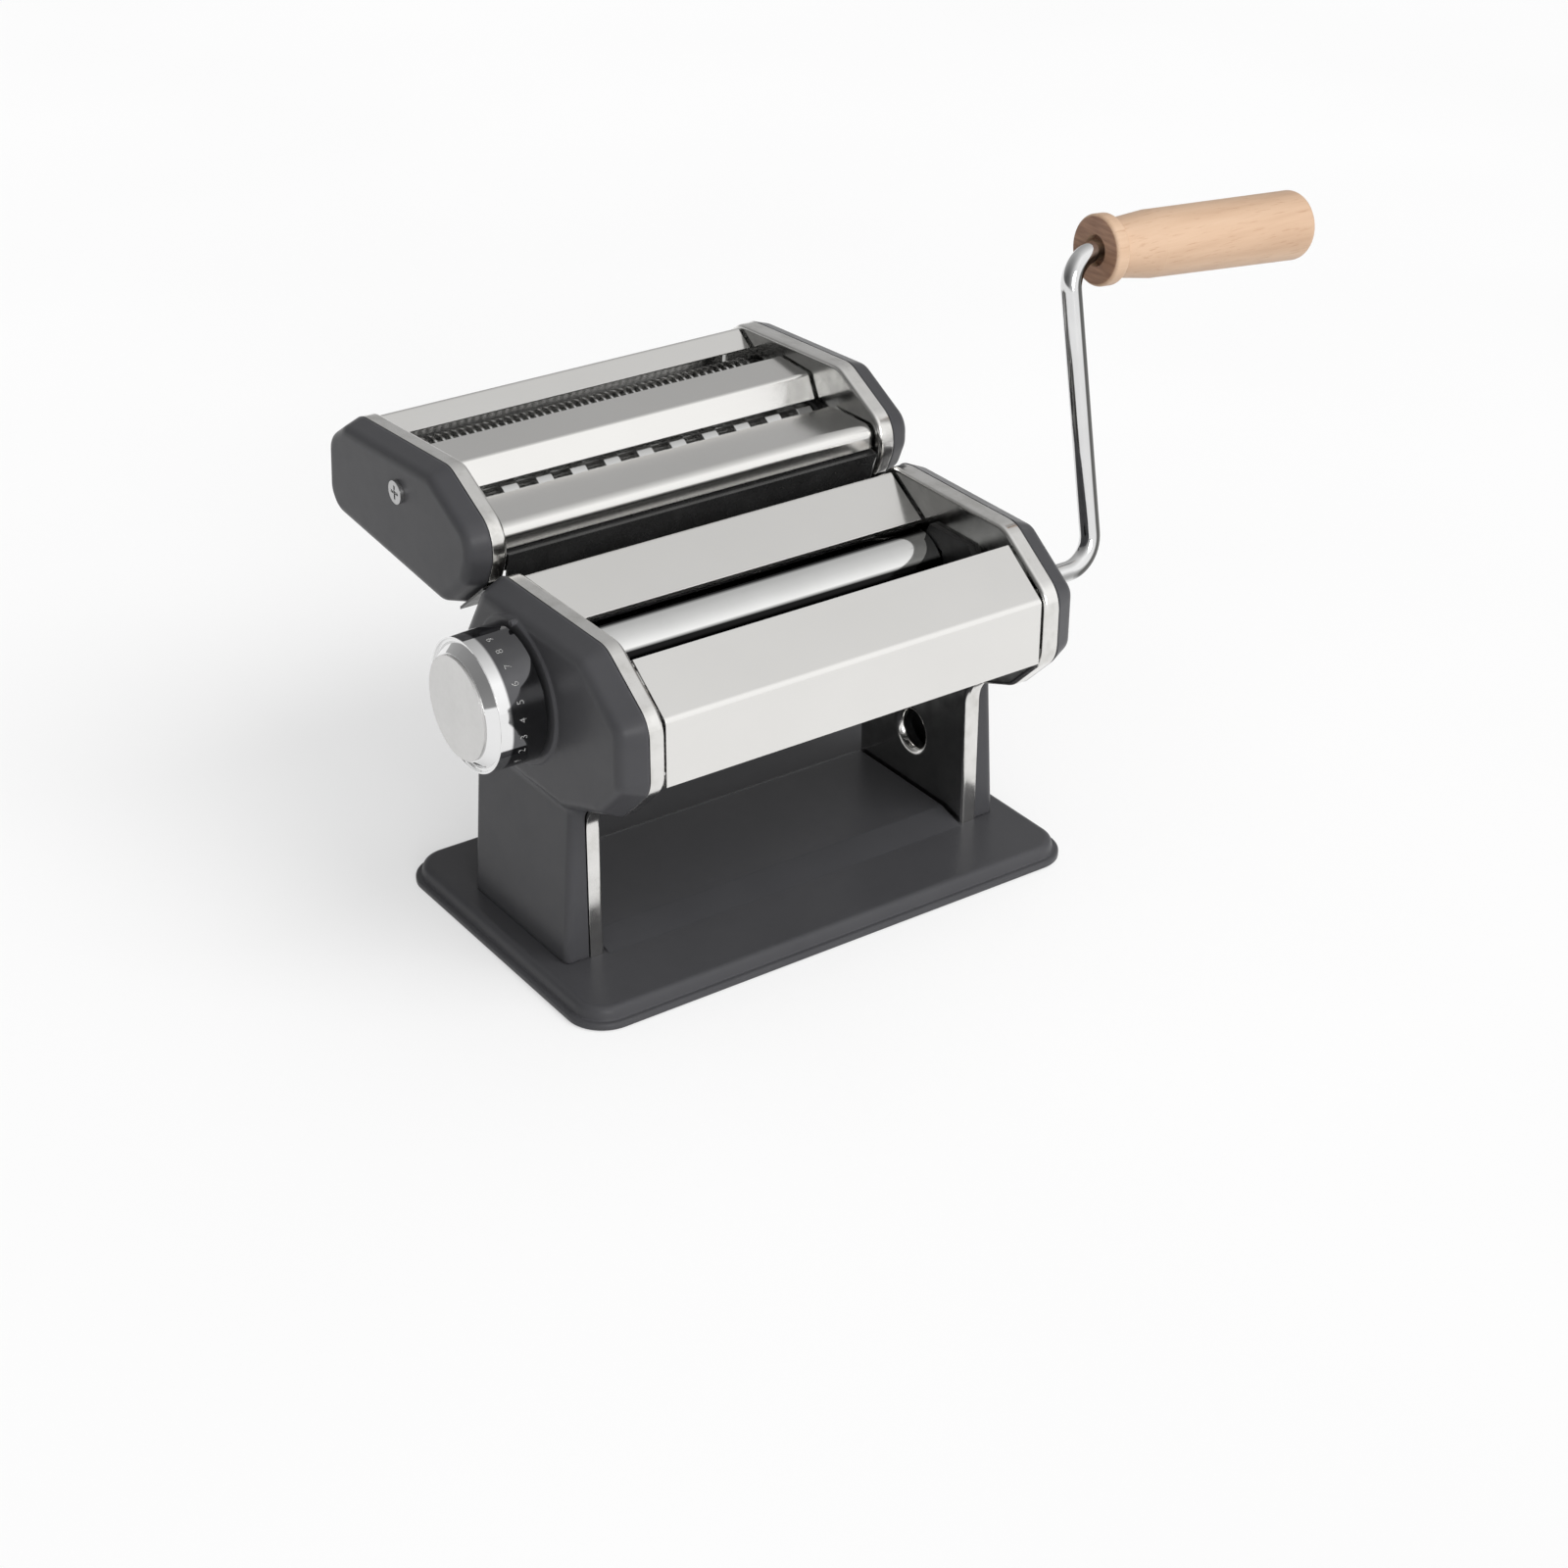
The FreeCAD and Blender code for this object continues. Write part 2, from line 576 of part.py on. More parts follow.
hanger_half = rim_outer + d.hanger_reach
tongue_start = d.plate_inner - d.tongue_inset
base_length = (cover_outer + d.base_reach) * 2

# heights, from the top of the side plates
body_slope_z = d.body_top - d.slope_drop
body_chin_z = d.body_top - d.chin_drop
body_chin_low = d.body_top - d.chin_low_drop
body_rear_z = d.body_top - d.rear_drop
body_rear_low = d.body_top - d.rear_low_drop
leg_top = d.body_top - d.leg_drop
front_top_z = d.body_top - d.front_top_drop
front_bend_z = d.body_top - d.front_bend_drop
front_low_z = d.body_top - d.front_low_drop
feed_top_z = d.body_top - d.feed_top_drop
feed_low_z = d.body_top - d.feed_low_drop
roller_z = d.body_top - d.roller_drop
cut_nose_z = d.body_top + d.cut_nose_rise
cut_nose_low = d.body_top + d.cut_nose_low_rise
cut_crown_z = d.body_top + d.cut_crown_rise
cut_back_z = d.body_top + d.cut_back_rise
cut_tail_z = d.body_top + d.cut_tail_rise
cut_rear_z = d.body_top - d.cut_rear_drop
cut_heel_z = d.body_top - d.cut_heel_drop
cut_toe_z = d.body_top - d.cut_toe_drop
cut_slip_z = d.body_top - d.cut_slip_drop
wide_z = d.body_top - d.wide_drop
fine_z = d.body_top + d.fine_rise
rear_guard_z = d.body_top + d.rear_guard_rise
middle_guard_z = d.body_top + d.middle_guard_rise
front_guard_z = d.body_top + d.front_guard_rise
tongue_low = d.body_top - d.tongue_drop
keeper_low = d.body_top - d.keeper_low_drop
keeper_high = d.body_top - d.keeper_high_drop
screw_z = d.body_top + d.screw_rise

# places front to back
cover_leg_half = d.leg_half - d.leg_step
body_rear = d.leg_half + d.rear_bulge
front_top_y = d.body_top_front + d.front_top_inset
front_bend_y = d.body_front - d.front_bend_inset
feed_top_y = d.body_top_rear - d.feed_top_inset
cut_front = d.body_top_rear + d.cut_front_gap
cut_slip_y = cut_front + d.cut_slip_run
cut_toe_y = body_rear + d.cut_toe_run
cut_crown_y = cut_front + d.cut_crown_run
wide_y = cut_front + d.wide_run
fine_y = wide_y + d.fine_run
cut_back_y = fine_y + d.cut_back_run
cut_tail_y = fine_y + d.cut_tail_run
cut_rear_y = fine_y + d.cut_rear_run
cut_heel_y = fine_y + d.cut_heel_run
rear_guard_y = fine_y + d.rear_guard_run
middle_guard_rear = fine_y - d.fine_slot_run
middle_guard_front = wide_y + d.wide_slot_run
front_guard_rear = wide_y - d.front_guard_run
front_guard_nose = cut_front + d.front_guard_inset
screw_y = wide_y + d.screw_run
tongue_y = body_rear - d.tongue_back
keeper_rear = tongue_y + d.tongue_sheet + d.keeper_wall
drive_y = d.adjust_y - d.roller_radius * 2 - d.gap_wide
knob_y = d.adjust_y - d.throw * cosine(d.throw_angle)
knob_z = roller_z - d.throw * sine(d.throw_angle)
wide_front_y = wide_y - d.cutter_space / 2
wide_rear_y = wide_y + d.cutter_space / 2
fine_front_y = fine_y - d.cutter_space / 2
fine_rear_y = fine_y + d.cutter_space / 2
stub_radius = d.shaft_radius + d.throw + d.fit * 4
bush_radius = d.journal + d.fit + d.bush_wall
cutter_bush_radius = d.socket_journal + d.fit + d.bush_wall
cutter_axes = [
    (wide_front_y, wide_z),
    (wide_rear_y, wide_z),
    (fine_front_y, fine_z),
    (fine_rear_y, fine_z),
]
CRANK_TURN = turn_about_x(-d.crank_lean.value)


def body_outline(inset=ZERO):
    """Upper outline of the roller body, seen along X."""
    return [
        (d.body_top_rear - inset, d.body_top - inset),
        (inset / 2 - d.body_top_front, d.body_top - inset),
        (inset - d.body_front, body_slope_z - inset / 2),
        (inset - d.body_front, body_chin_z + inset / 2),
        (inset / 2 - d.body_chin_y, body_chin_low + inset),
        (inset / 2 - d.leg_half, leg_top + inset),
        (d.leg_half - inset / 2, leg_top + inset),
        (body_rear - inset, body_rear_low + inset / 2),
        (body_rear - inset, body_rear_z - inset / 2),
    ]


def plate_outline():
    """The body outline with its leg."""
    outline = body_outline()
    leg = [(-d.leg_half, d.base_top), (d.leg_half, d.base_top)]
    return outline[:6] + leg + outline[6:]


def cutter_outline(inset=ZERO):
    """Outline of the cutter unit, seen along X."""
    return [
        (cut_front + inset, cut_nose_z - inset / 2),
        (cut_crown_y + inset / 2, cut_crown_z - inset),
        (cut_back_y - inset / 2, cut_back_z - inset),
        (cut_tail_y - inset, cut_tail_z - inset / 2),
        (cut_rear_y - inset, cut_rear_z + inset / 2),
        (cut_heel_y - inset / 2, cut_heel_z + inset),
        (cut_toe_y + inset / 4, cut_toe_z + inset),
        (cut_slip_y + inset, cut_slip_z + inset / 2),
        (cut_front + inset, cut_nose_low),
    ]


def make_base():
    body = new_body("base_plate")
    half_x = base_length / 2
    half_y = d.base_depth / 2

    bead = new_sketch(body, "XY_Plane", d.base_lift)
    draw_rounded_rectangle(bead, half_x, half_y, d.base_corner)
    slab = pad(body, bead, d.bead_height)
    bead_top = d.base_lift + d.bead_height
    fillet(body, slab, d.bead_height * 0.4, lambda e: on_plane(e, "Z", bead_top.value))

    wall = new_sketch(body, "XY_Plane", d.base_lift + d.bead_height / 2)
    step = d.bead_step
    draw_rounded_rectangle(wall, half_x - step, half_y - step, d.base_corner - step)
    rise = d.base_top - d.base_lift - d.bead_height / 2
    top = pad(body, wall, rise, taper=-d.base_draft)
    fillet(body, top, d.base_edge, lambda e: on_plane(e, "Z", d.base_top.value))

    deck = new_sketch(body, "YZ_Plane")
    deck_top = d.base_top + d.deck_rise
    sunk = d.base_top - d.base_sheet / 2
    draw_polygon(
        deck,
        [
            (-d.deck_front - d.deck_front_slope, d.base_top),
            (-d.deck_front, deck_top),
            (d.deck_rear, deck_top),
            (d.deck_rear + d.deck_rear_slope, d.base_top),
            (d.deck_rear + d.deck_rear_slope, sunk),
            (-d.deck_front - d.deck_front_slope, sunk),
        ],
    )
    pad(body, deck, deck_half * 2, symmetric=True)

    hollow_sketch = new_sketch(body, "XY_Plane", d.base_lift)
    edge = d.bead_step + d.base_edge + d.base_sheet
    draw_rounded_rectangle(hollow_sketch, half_x - edge, half_y - edge, d.base_corner - edge)
    pocket(body, hollow_sketch, d.base_top - d.base_sheet - d.base_lift, reverse=True)


def make_mat():
    """Rubber mat in the hollow of the base, with four posts that carry the base."""
    body = new_body("rubber_mat")
    edge = d.bead_step + d.base_edge + d.base_sheet + d.mat_gap
    outline = new_sketch(body, "XY_Plane")
    draw_rounded_rectangle(outline, base_length / 2 - edge, d.base_depth / 2 - edge, d.base_corner - edge)
    pad(body, outline, d.mat_sheet)
    posts = new_sketch(body, "XY_Plane")
    reach_x = base_length / 2 - d.foot_inset
    reach_y = d.base_depth / 2 - d.foot_inset
    for sx in (-1, 1):
        for sy in (-1, 1):
            draw_circle(posts, reach_x * sx, reach_y * sy, d.foot_radius)
    pad(body, posts, d.base_top - d.base_sheet)


def make_side_plate(side):
    """Pressed plate: body and leg in one, with a rim turned outwards all round."""
    body = new_body("side_plate_" + side_name(side))
    reverse = side == LEFT
    outline = new_sketch(body, "YZ_Plane", d.plate_inner * side)
    draw_polygon(outline, plate_outline())
    block = pad(body, outline, rim_outer - d.plate_inner, reverse=reverse)
    above = d.base_top.value + 1
    block = fillet(body, block, d.rim_corner, lambda e: along_x(e) and e.CenterOfMass.z > above)
    inner = d.plate_inner.value * side
    floor = d.base_top.value
    block = fillet(
        body,
        block,
        d.rim_bend,
        lambda e: on_plane(e, "X", inner) and not on_plane(e, "Z", floor),
    )
    hollow(body, block, d.plate_sheet, lambda f: on_plane(f, "X", rim_outer.value * side))

    collar = new_sketch(body, "YZ_Plane", d.plate_inner * side)
    draw_circle(collar, 0, d.socket_z, d.socket_rim / 2)
    pad(body, collar, rim_outer - d.plate_inner, reverse=reverse)
    bore = new_sketch(body, "YZ_Plane", d.plate_inner * side)
    draw_circle(bore, 0, d.socket_z, d.socket_bore / 2)
    mouth = pocket(body, bore, rim_outer, reverse=not reverse)
    bore_radius = d.socket_bore.value / 2
    fillet(body, mouth, d.socket_flare, lambda e: is_ring(e, bore_radius) and on_plane(e, "X", inner))

    holes = new_sketch(body, "YZ_Plane", d.plate_inner * side)
    draw_circle(holes, drive_y, roller_z, bush_radius)
    adjust_hole = stub_radius + d.fit + d.bush_wall
    if side == RIGHT:
        adjust_hole = d.adjust_journal + d.throw * 2 + d.fit * 12
    draw_circle(holes, knob_y, knob_z, adjust_hole)
    pocket(body, holes, d.plate_sheet * 2, reverse=not reverse)


def is_ring(edge, radius):
    return edge.Curve.TypeId == "Part::GeomCircle" and abs(edge.Curve.Radius - radius) < 1e-4


def lowest_seam(shape, min_x, min_z):
    """The lowest straight edge along Y that lies beyond an x and above a z."""
    seams = []
    for edge in shape.Edges:
        box = edge.BoundBox
        flat = edge.Curve.TypeId == "Part::GeomLine" and box.XLength < 1e-6 and box.ZLength < 1e-6
        if flat and abs(box.XMin) > min_x and box.ZMin > min_z:
            seams.append(edge)
    return min(seams, key=lambda e: e.BoundBox.ZMin)


def make_cover(side):
    """Painted end cover: a pod over the gears and a leg that flares to the base."""
    body = new_body("cover_" + side_name(side))
    reverse = side == LEFT
    outline = new_sketch(body, "YZ_Plane", cover_inner * side)
    draw_polygon(outline, body_outline())
    depth = cover_outer - cover_inner
    pod = sloping_pad(body, outline, depth, d.cover_corner, d.cover_draft, reverse)
    outer = cover_outer.value * side
    fillet(body, pod, d.cover_round, lambda e: on_plane(e, "X", outer))

    leg = new_sketch(body, "XZ_Plane")
    foot = d.base_top + d.cover_foot_gap
    head = leg_top + d.cover_wall * 2
    draw_polygon(
        leg,
        [
            (cover_inner * side, foot),
            (cover_leg_low * side, foot),
            (cover_leg_high * side, head),
            (cover_inner * side, head),
        ],
    )
    stem = pad(body, leg, cover_leg_half * 2, symmetric=True)
    half = cover_leg_half.value
    far = cover_leg_high.value - 0.5
    stem = fillet(
        body,
        stem,
        d.cover_leg_round,
        lambda e: abs(abs(e.CenterOfMass.y) - half) < 1e-3
        and abs(e.CenterOfMass.x) > far
        and foot.value + 1 < e.CenterOfMass.z < leg_top.value,
    )
    seam = lowest_seam(stem.Shape, cover_inner.value + 1, leg_top.value + 1)
    fillet(body, stem, d.cover_blend, lambda e: e.isSame(seam))

    if side == LEFT:
        boss = new_sketch(body, "YZ_Plane", (cover_outer - 1) * side)
        draw_circle(boss, knob_y, knob_z, d.dial_boss)
        seat = pad(body, boss, d.dial_boss_rise + 1, reverse=reverse, taper=-d.dial_boss_draft)
        top = (cover_outer + d.dial_boss_rise).value * side
        fillet(body, seat, d.dial_boss_rise / 2, lambda e: on_plane(e, "X", top))
        nub = new_sketch(body, "YZ_Plane", -cover_outer)
        nub_z = knob_z + d.knob_base_radius + d.index_nub * 1.5
        draw_circle(nub, knob_y - d.index_nub, nub_z, d.index_nub)
        pad(body, nub, d.dial_boss_rise + d.index_nub, reverse=True)

    room = new_sketch(body, "YZ_Plane", cover_inner * side)
    draw_polygon(room, body_outline(d.cover_wall * 1.6))
    pocket(
        body,
        room,
        depth - d.cover_wall,
        reverse=not reverse,
        taper=-d.cover_draft,
    )
    shaft_room = new_sketch(body, "XZ_Plane")
    draw_polygon(
        shaft_room,
        [
            (cover_inner * side, foot),
            ((cover_leg_low - d.cover_wall) * side, foot),
            ((cover_leg_high - d.cover_wall) * side, head + d.cover_wall),
            (cover_inner * side, head + d.cover_wall),
        ],
    )
    pocket(body, shaft_room, (cover_leg_half - d.cover_wall) * 2, symmetric=True)

    hole = new_sketch(body, "YZ_Plane", cover_inner * side)
    if side == LEFT:
        draw_circle(hole, knob_y, knob_z, d.knob_hub + d.fit * 6)
    else:
        draw_circle(hole, drive_y, roller_z, d.socket_journal + d.fit * 8)
    pocket(body, hole, cover_outer, reverse=not reverse)


def make_bent_panel(label, points, bends, open_test, bend=None):
    """A folded sheet between the side plates; open_test names the faces that are open."""
    body = new_body(label)
    sketch = new_sketch(body, "YZ_Plane")
    draw_polygon(sketch, points)
    block = pad(body, sketch, panel_half * 2, symmetric=True)
    spots = [(points[i][0].value, points[i][1].value) for i in bends]
    block = fillet(
        body,
        block,
        bend or d.panel_bend,
        lambda e: along_x(e)
        and any(math.hypot(e.CenterOfMass.y - y, e.CenterOfMass.z - z) < 1e-3 for y, z in spots),
    )
    half = panel_half.value
    hollow(
        body,
        block,
        d.panel_sheet,
        lambda f: on_plane(f, "X", half) or on_plane(f, "X", -half) or open_test(f),
    )


def faces_between(a, b):
    """A test for the flat face that runs from outline point a to point b."""
    middle_y = (a[0].value + b[0].value) / 2
    middle_z = (a[1].value + b[1].value) / 2
    run_y = b[0].value - a[0].value
    run_z = b[1].value - a[1].value
    length = math.hypot(run_y, run_z)

    def test(face):
        centre = face.CenterOfMass
        off = abs((centre.y - middle_y) * run_z - (centre.z - middle_z) * run_y) / length
        normal = face.normalAt(0, 0)
        return off < 1e-3 and abs(normal.y * run_y + normal.z * run_z) / length < 1e-3

    return test


def make_panels():
    front = [
        (d.front_lip - front_top_y, front_top_z - d.front_lip),
        (-front_top_y, front_top_z),
        (-front_bend_y, front_bend_z),
        (-front_bend_y, front_low_z),
        (d.front_lip * 1.5 - front_bend_y, front_low_z - d.front_lip / 2),
    ]
    make_bent_panel("front_panel", front, [2], faces_between(front[4], front[0]))

    feed = [
        (feed_top_y + d.feed_lip / 10, feed_top_z - d.feed_lip),
        (feed_top_y, feed_top_z),
        (-d.feed_low_y, feed_low_z),
    ]
    make_bent_panel("feed_panel", feed, [1], faces_between(feed[2], feed[0]), d.panel_sheet * 1.2)

    inset = d.plate_sheet + d.fit * 6
    back = [
        (d.body_top_rear - inset, d.body_top - inset * 2),
        (body_rear - inset, body_rear_z),
        (body_rear - inset, body_rear_low),
        (d.leg_half - inset, leg_top + inset),
    ]
    make_bent_panel("back_panel", back, [1], faces_between(back[3], back[0]))


def make_tie_rods():
    spots = [
        (d.front_lip * 2 - d.body_front, body_chin_z + d.front_lip),
        (d.front_lip * 2 - d.body_front, body_slope_z - d.front_lip),
        (body_rear - d.front_lip * 2, body_rear_z - d.front_lip),
        (body_rear - d.front_lip * 2, body_rear_low + d.front_lip),
    ]
    rods = [rod_x("tie_rod", d.rod_radius, -d.plate_inner, d.plate_inner * 2, y, z) for y, z in spots]
    gather("tie_rods", rods)
    heads = []
    for y, z in spots:
        heads.append(rod_x("rod_nut", d.rod_radius * 1.6, plate_outer, d.rod_radius, y, z))
        heads.append(rod_x("rod_nut", d.rod_radius * 1.6, -plate_outer - d.rod_radius, d.rod_radius, y, z))
    gather("tie_rod_nuts", heads)


def make_guides_and_scrapers():
    """Dough guides at the roller ends and scraper bars under the rollers."""
    roller_top = roller_z + d.roller_radius
    guide_top = roller_top + d.guide_rise
    shoulder = roller_top - d.guide_drop
    tip_z = roller_z + d.guide_tip_rise
    nip_y = (drive_y + d.adjust_y) / 2
    for side in (LEFT, RIGHT):
        body = new_body("dough_guide_" + side_name(side))
        sketch = new_sketch(body, "YZ_Plane", d.plate_inner * side)
        draw_polygon(
            sketch,
            [
                (nip_y + d.guide_top_rear, guide_top),
                (nip_y - d.guide_top_front, guide_top),
                (nip_y - d.guide_half, shoulder + d.guide_lean),
                (nip_y - d.guide_root, shoulder),
                (nip_y - d.guide_tip, tip_z),
                (nip_y + d.guide_tip, tip_z),
                (nip_y + d.guide_root, shoulder),
                (nip_y + d.guide_half, shoulder + d.guide_lean),
            ],
        )
        pad(body, sketch, d.plate_inner - roller_half - d.guide_gap, reverse=side == RIGHT)
    bars = []
    bar_low = roller_z - d.roller_radius - d.scraper_gap - d.scraper_height
    size = (d.plate_inner * 2, d.scraper_width, d.scraper_height)
    for y, low in ((drive_y, bar_low), (d.adjust_y, bar_low - d.throw)):
        bars.append(box_at("scraper", -d.plate_inner, y - d.scraper_width / 2, low, *size))
    gather("scraper_bars", bars)


def make_flanged_bush(label, side, bore, outer, y, z):
    """A bush pressed into a plate, its flange on the inner face."""
    flange = d.plate_inner - d.bush_flange
    far = plate_outer + d.bush_flange
    turned(
        label,
        [
            (flange * side, bore),
            (flange * side, outer + d.bush_wall),
            (d.plate_inner * side, outer + d.bush_wall),
            (d.plate_inner * side, outer),
            (far * side, outer),
            (far * side, bore),
        ],
        y,
        z,
    )


def make_bearings():
    for side in (LEFT, RIGHT):
        label = "drive_bush_" + side_name(side)
        make_flanged_bush(label, side, d.journal + d.fit, bush_radius, drive_y, roller_z)
    bore = stub_radius + d.fit
    make_flanged_bush("adjust_bush", LEFT, bore, bore + d.bush_wall, knob_y, knob_z)

    bridge = new_body("bearing_bridge")
    strip_x = gear_start + d.gear_face + d.bridge_gap
    strip = new_sketch(bridge, "YZ_Plane", strip_x)
    half = d.bridge_half
    far = knob_y + d.bridge_reach + d.bridge_post
    draw_rectangle(strip, knob_y - half, far, knob_z - half, knob_z + half)
    pad(bridge, strip, d.plate_sheet * 1.5)
    posts = new_sketch(bridge, "YZ_Plane", plate_outer)
    for sign in (-1, 1):
        draw_circle(posts, knob_y + d.bridge_reach, knob_z + d.bridge_post * sign, d.rod_radius)
    pad(bridge, posts, strip_x - plate_outer + d.plate_sheet / 2)
    eye = new_sketch(bridge, "YZ_Plane", strip_x)
    draw_circle(eye, knob_y, knob_z, d.rod_radius + d.fit)
    pocket(bridge, eye, d.plate_sheet * 3, reverse=True)


def cut_pin_slot(body):
    """Slot across a crank socket for the crank's cross pin."""
    slot = new_sketch(body, "YZ_Plane", socket_end)
    reach = d.socket_journal + 1
    draw_rectangle(slot, -reach, reach, d.socket_slot / -2, d.socket_slot / 2)
    pocket(body, slot, d.socket_slot * 1.5)


def roller_profile(journal, barrel, half, driven):
    """Half section of a roller; a driven one has a crank socket in its right end."""
    left_end = plate_outer + d.bush_flange * 2
    neck = gear_start + d.gear_face + d.end_play
    barrel_part = [
        (-left_end, ZERO),
        (-left_end, journal),
        (-half, journal),
        (-half, barrel),
        (half, barrel),
        (half, journal),
    ]
    if not driven:
        return barrel_part + [(neck, journal), (neck, ZERO)]
    if journal is not d.socket_journal:
        barrel_part += [(neck, journal), (neck, d.socket_journal)]
    bore = d.crank_rod + d.fit
    floor = socket_end - d.socket_depth
    return barrel_part + [
        (socket_end, d.socket_journal),
        (socket_end, bore),
        (floor, bore),
        (floor - d.drill_point, ZERO),
    ]


def make_rollers():
    profile = roller_profile(d.journal, d.roller_radius, roller_half, True)
    drive = turned("drive_roller", profile, drive_y, roller_z)
    cut_pin_slot(drive)
    place(drive, 0, drive_y, roller_z, CRANK_TURN)
    bore = d.shaft_bush + d.fit
    end = gear_start + d.gear_face + d.end_play
    turned(
        "adjust_roller",
        [
            (-roller_half, bore),
            (-roller_half, d.roller_radius),
            (roller_half, d.roller_radius),
            (roller_half, d.adjust_journal),
            (end, d.adjust_journal),
            (end, bore),
        ],
        d.adjust_y,
        roller_z,
    )
    sleeves = []
    length = d.shaft_bush * 3
    for start in (-roller_half, end - length):
        sleeves.append(
            ring_x("sleeve", d.shaft_bush, d.shaft_radius + d.fit, start, length, d.adjust_y, roller_z)
        )
    gather("roller_sleeves", sleeves)

    stub_start = roller_half + d.end_play
    stub_end = plate_outer + d.bush_flange + d.fit * 4
    shaft = turned(
        "adjust_shaft",
        [
            (-cover_outer - d.end_play, ZERO),
            (-cover_outer - d.end_play, d.knob_spigot),
            (-stub_end, d.knob_spigot),
            (-stub_end, stub_radius),
            (-stub_start, stub_radius),
            (-stub_start, ZERO),
        ],
        knob_y,
        knob_z,
    )
    eccentric = new_sketch(shaft, "YZ_Plane", -d.plate_inner)
    throw_y = d.throw * cosine(d.throw_angle)
    throw_z = d.throw * sine(d.throw_angle)
    draw_circle(eccentric, throw_y, throw_z, d.shaft_radius)
    pad(shaft, eccentric, d.plate_inner + end + d.end_play)
    pivot = new_sketch(shaft, "YZ_Plane", end - d.end_play)
    draw_circle(pivot, 0, 0, d.rod_radius)
    pad(shaft, pivot, d.bridge_gap + d.plate_sheet * 1.5 + d.end_play)
    tang = new_sketch(shaft, "YZ_Plane", -cover_outer)
    half = d.knob_square
    draw_rectangle(tang, -half, half, -half, half)
    pad(shaft, tang, d.knob_depth - d.knob_square_end, reverse=True)


def make_gear(label, teeth, tip, root, bore, y, z, turn=0.0):
    """A straight-toothed gear at the right end of a roller."""
    body = new_body(label)
    blank = new_sketch(body, "YZ_Plane", gear_start)
    draw_circle(blank, 0, 0, root)
    pad(body, blank, d.gear_face)
    profile = new_sketch(body, "YZ_Plane", gear_start)
    foot = root - 0.6
    draw_polygon(
        profile,
        [
            (foot, d.tooth_root / -2),
            (tip, d.tooth_tip / -2),
            (tip, d.tooth_tip / 2),
            (foot, d.tooth_root / 2),
        ],
    )
    tooth = pad(body, profile, d.gear_face)
    wheel = body.newObject("PartDesign::PolarPattern", label + "_teeth")
    wheel.Originals = [tooth]
    wheel.Axis = (x_axis(body), [""])
    wheel.Angle = 360
    body.Tip = wheel
    wheel.Occurrences = teeth
    doc.recompute()
    eye = new_sketch(body, "YZ_Plane", gear_start)
    draw_circle(eye, 0, 0, bore)
    pocket(body, eye, d.gear_face * 2, reverse=True)
    place(body, 0, y, z, turn_about_x(turn))


def make_gears():
    roller_teeth = 14
    cutter_teeth = 12
    tip, root = d.roller_gear_tip, d.roller_gear_root
    make_gear("drive_gear", roller_teeth, tip, root, d.journal, drive_y, roller_z)
    half_pitch = 180 / roller_teeth
    make_gear("adjust_gear", roller_teeth, tip, root, d.adjust_journal, d.adjust_y, roller_z, half_pitch)
    tip, root, bore = d.cutter_gear_tip, d.cutter_gear_root, d.socket_journal
    half_pitch = 180 / cutter_teeth
    make_gear("wide_front_gear", cutter_teeth, tip, root, bore, wide_front_y, wide_z)
    make_gear("wide_rear_gear", cutter_teeth, tip, root, bore, wide_rear_y, wide_z, half_pitch)
    make_gear("fine_front_gear", cutter_teeth, tip, root, bore, fine_front_y, fine_z)
    make_gear("fine_rear_gear", cutter_teeth, tip, root, bore, fine_rear_y, fine_z, half_pitch)


def make_knob():
    """Dial knob: a hollow cup with a lipped rim, a cone and a flat face plate."""
    plate = d.panel_sheet
    lip = plate
    floor = knob_rim_x - d.knob_wall / 2
    knob = turned(
        "dial_knob",
        [
            (plate - knob_front, ZERO),
            (plate - knob_front, d.knob_face + plate / 2),
            (-knob_rim_x, d.knob_rim - lip * 2),
            (-knob_rim_x, d.knob_rim - lip),
            (-knob_rim_x - lip, d.knob_rim - lip * 0.7),
            (-knob_rim_x - lip, d.knob_rim),
            (-knob_seat, d.knob_base_radius),
            (-knob_seat, d.knob_base_radius - d.knob_wall),
            (-floor, d.knob_rim - d.knob_wall),
            (-floor, d.knob_hub),
            (d.cover_wall * 0.6 - cover_outer, d.knob_hub),
            (d.cover_wall * 0.6 - cover_outer, d.knob_spigot + d.fit),
            (-cover_outer - plate, d.knob_spigot + d.fit),
            (-cover_outer - plate, ZERO),
        ],
        knob_y,
        knob_z,
    )
    square = new_sketch(knob, "YZ_Plane", -cover_outer)
    half = d.knob_square + d.fit
    draw_rectangle(square, -half, half, -half, half)
    pocket(knob, square, d.knob_depth - d.knob_square_end + d.end_play * 2)
    turned(
        "dial_face",
        [
            (-knob_front, ZERO),
            (-knob_front, d.knob_face),
            (plate - knob_front, d.knob_face),
            (plate - knob_front, ZERO),
        ],
        knob_y,
        knob_z,
    )


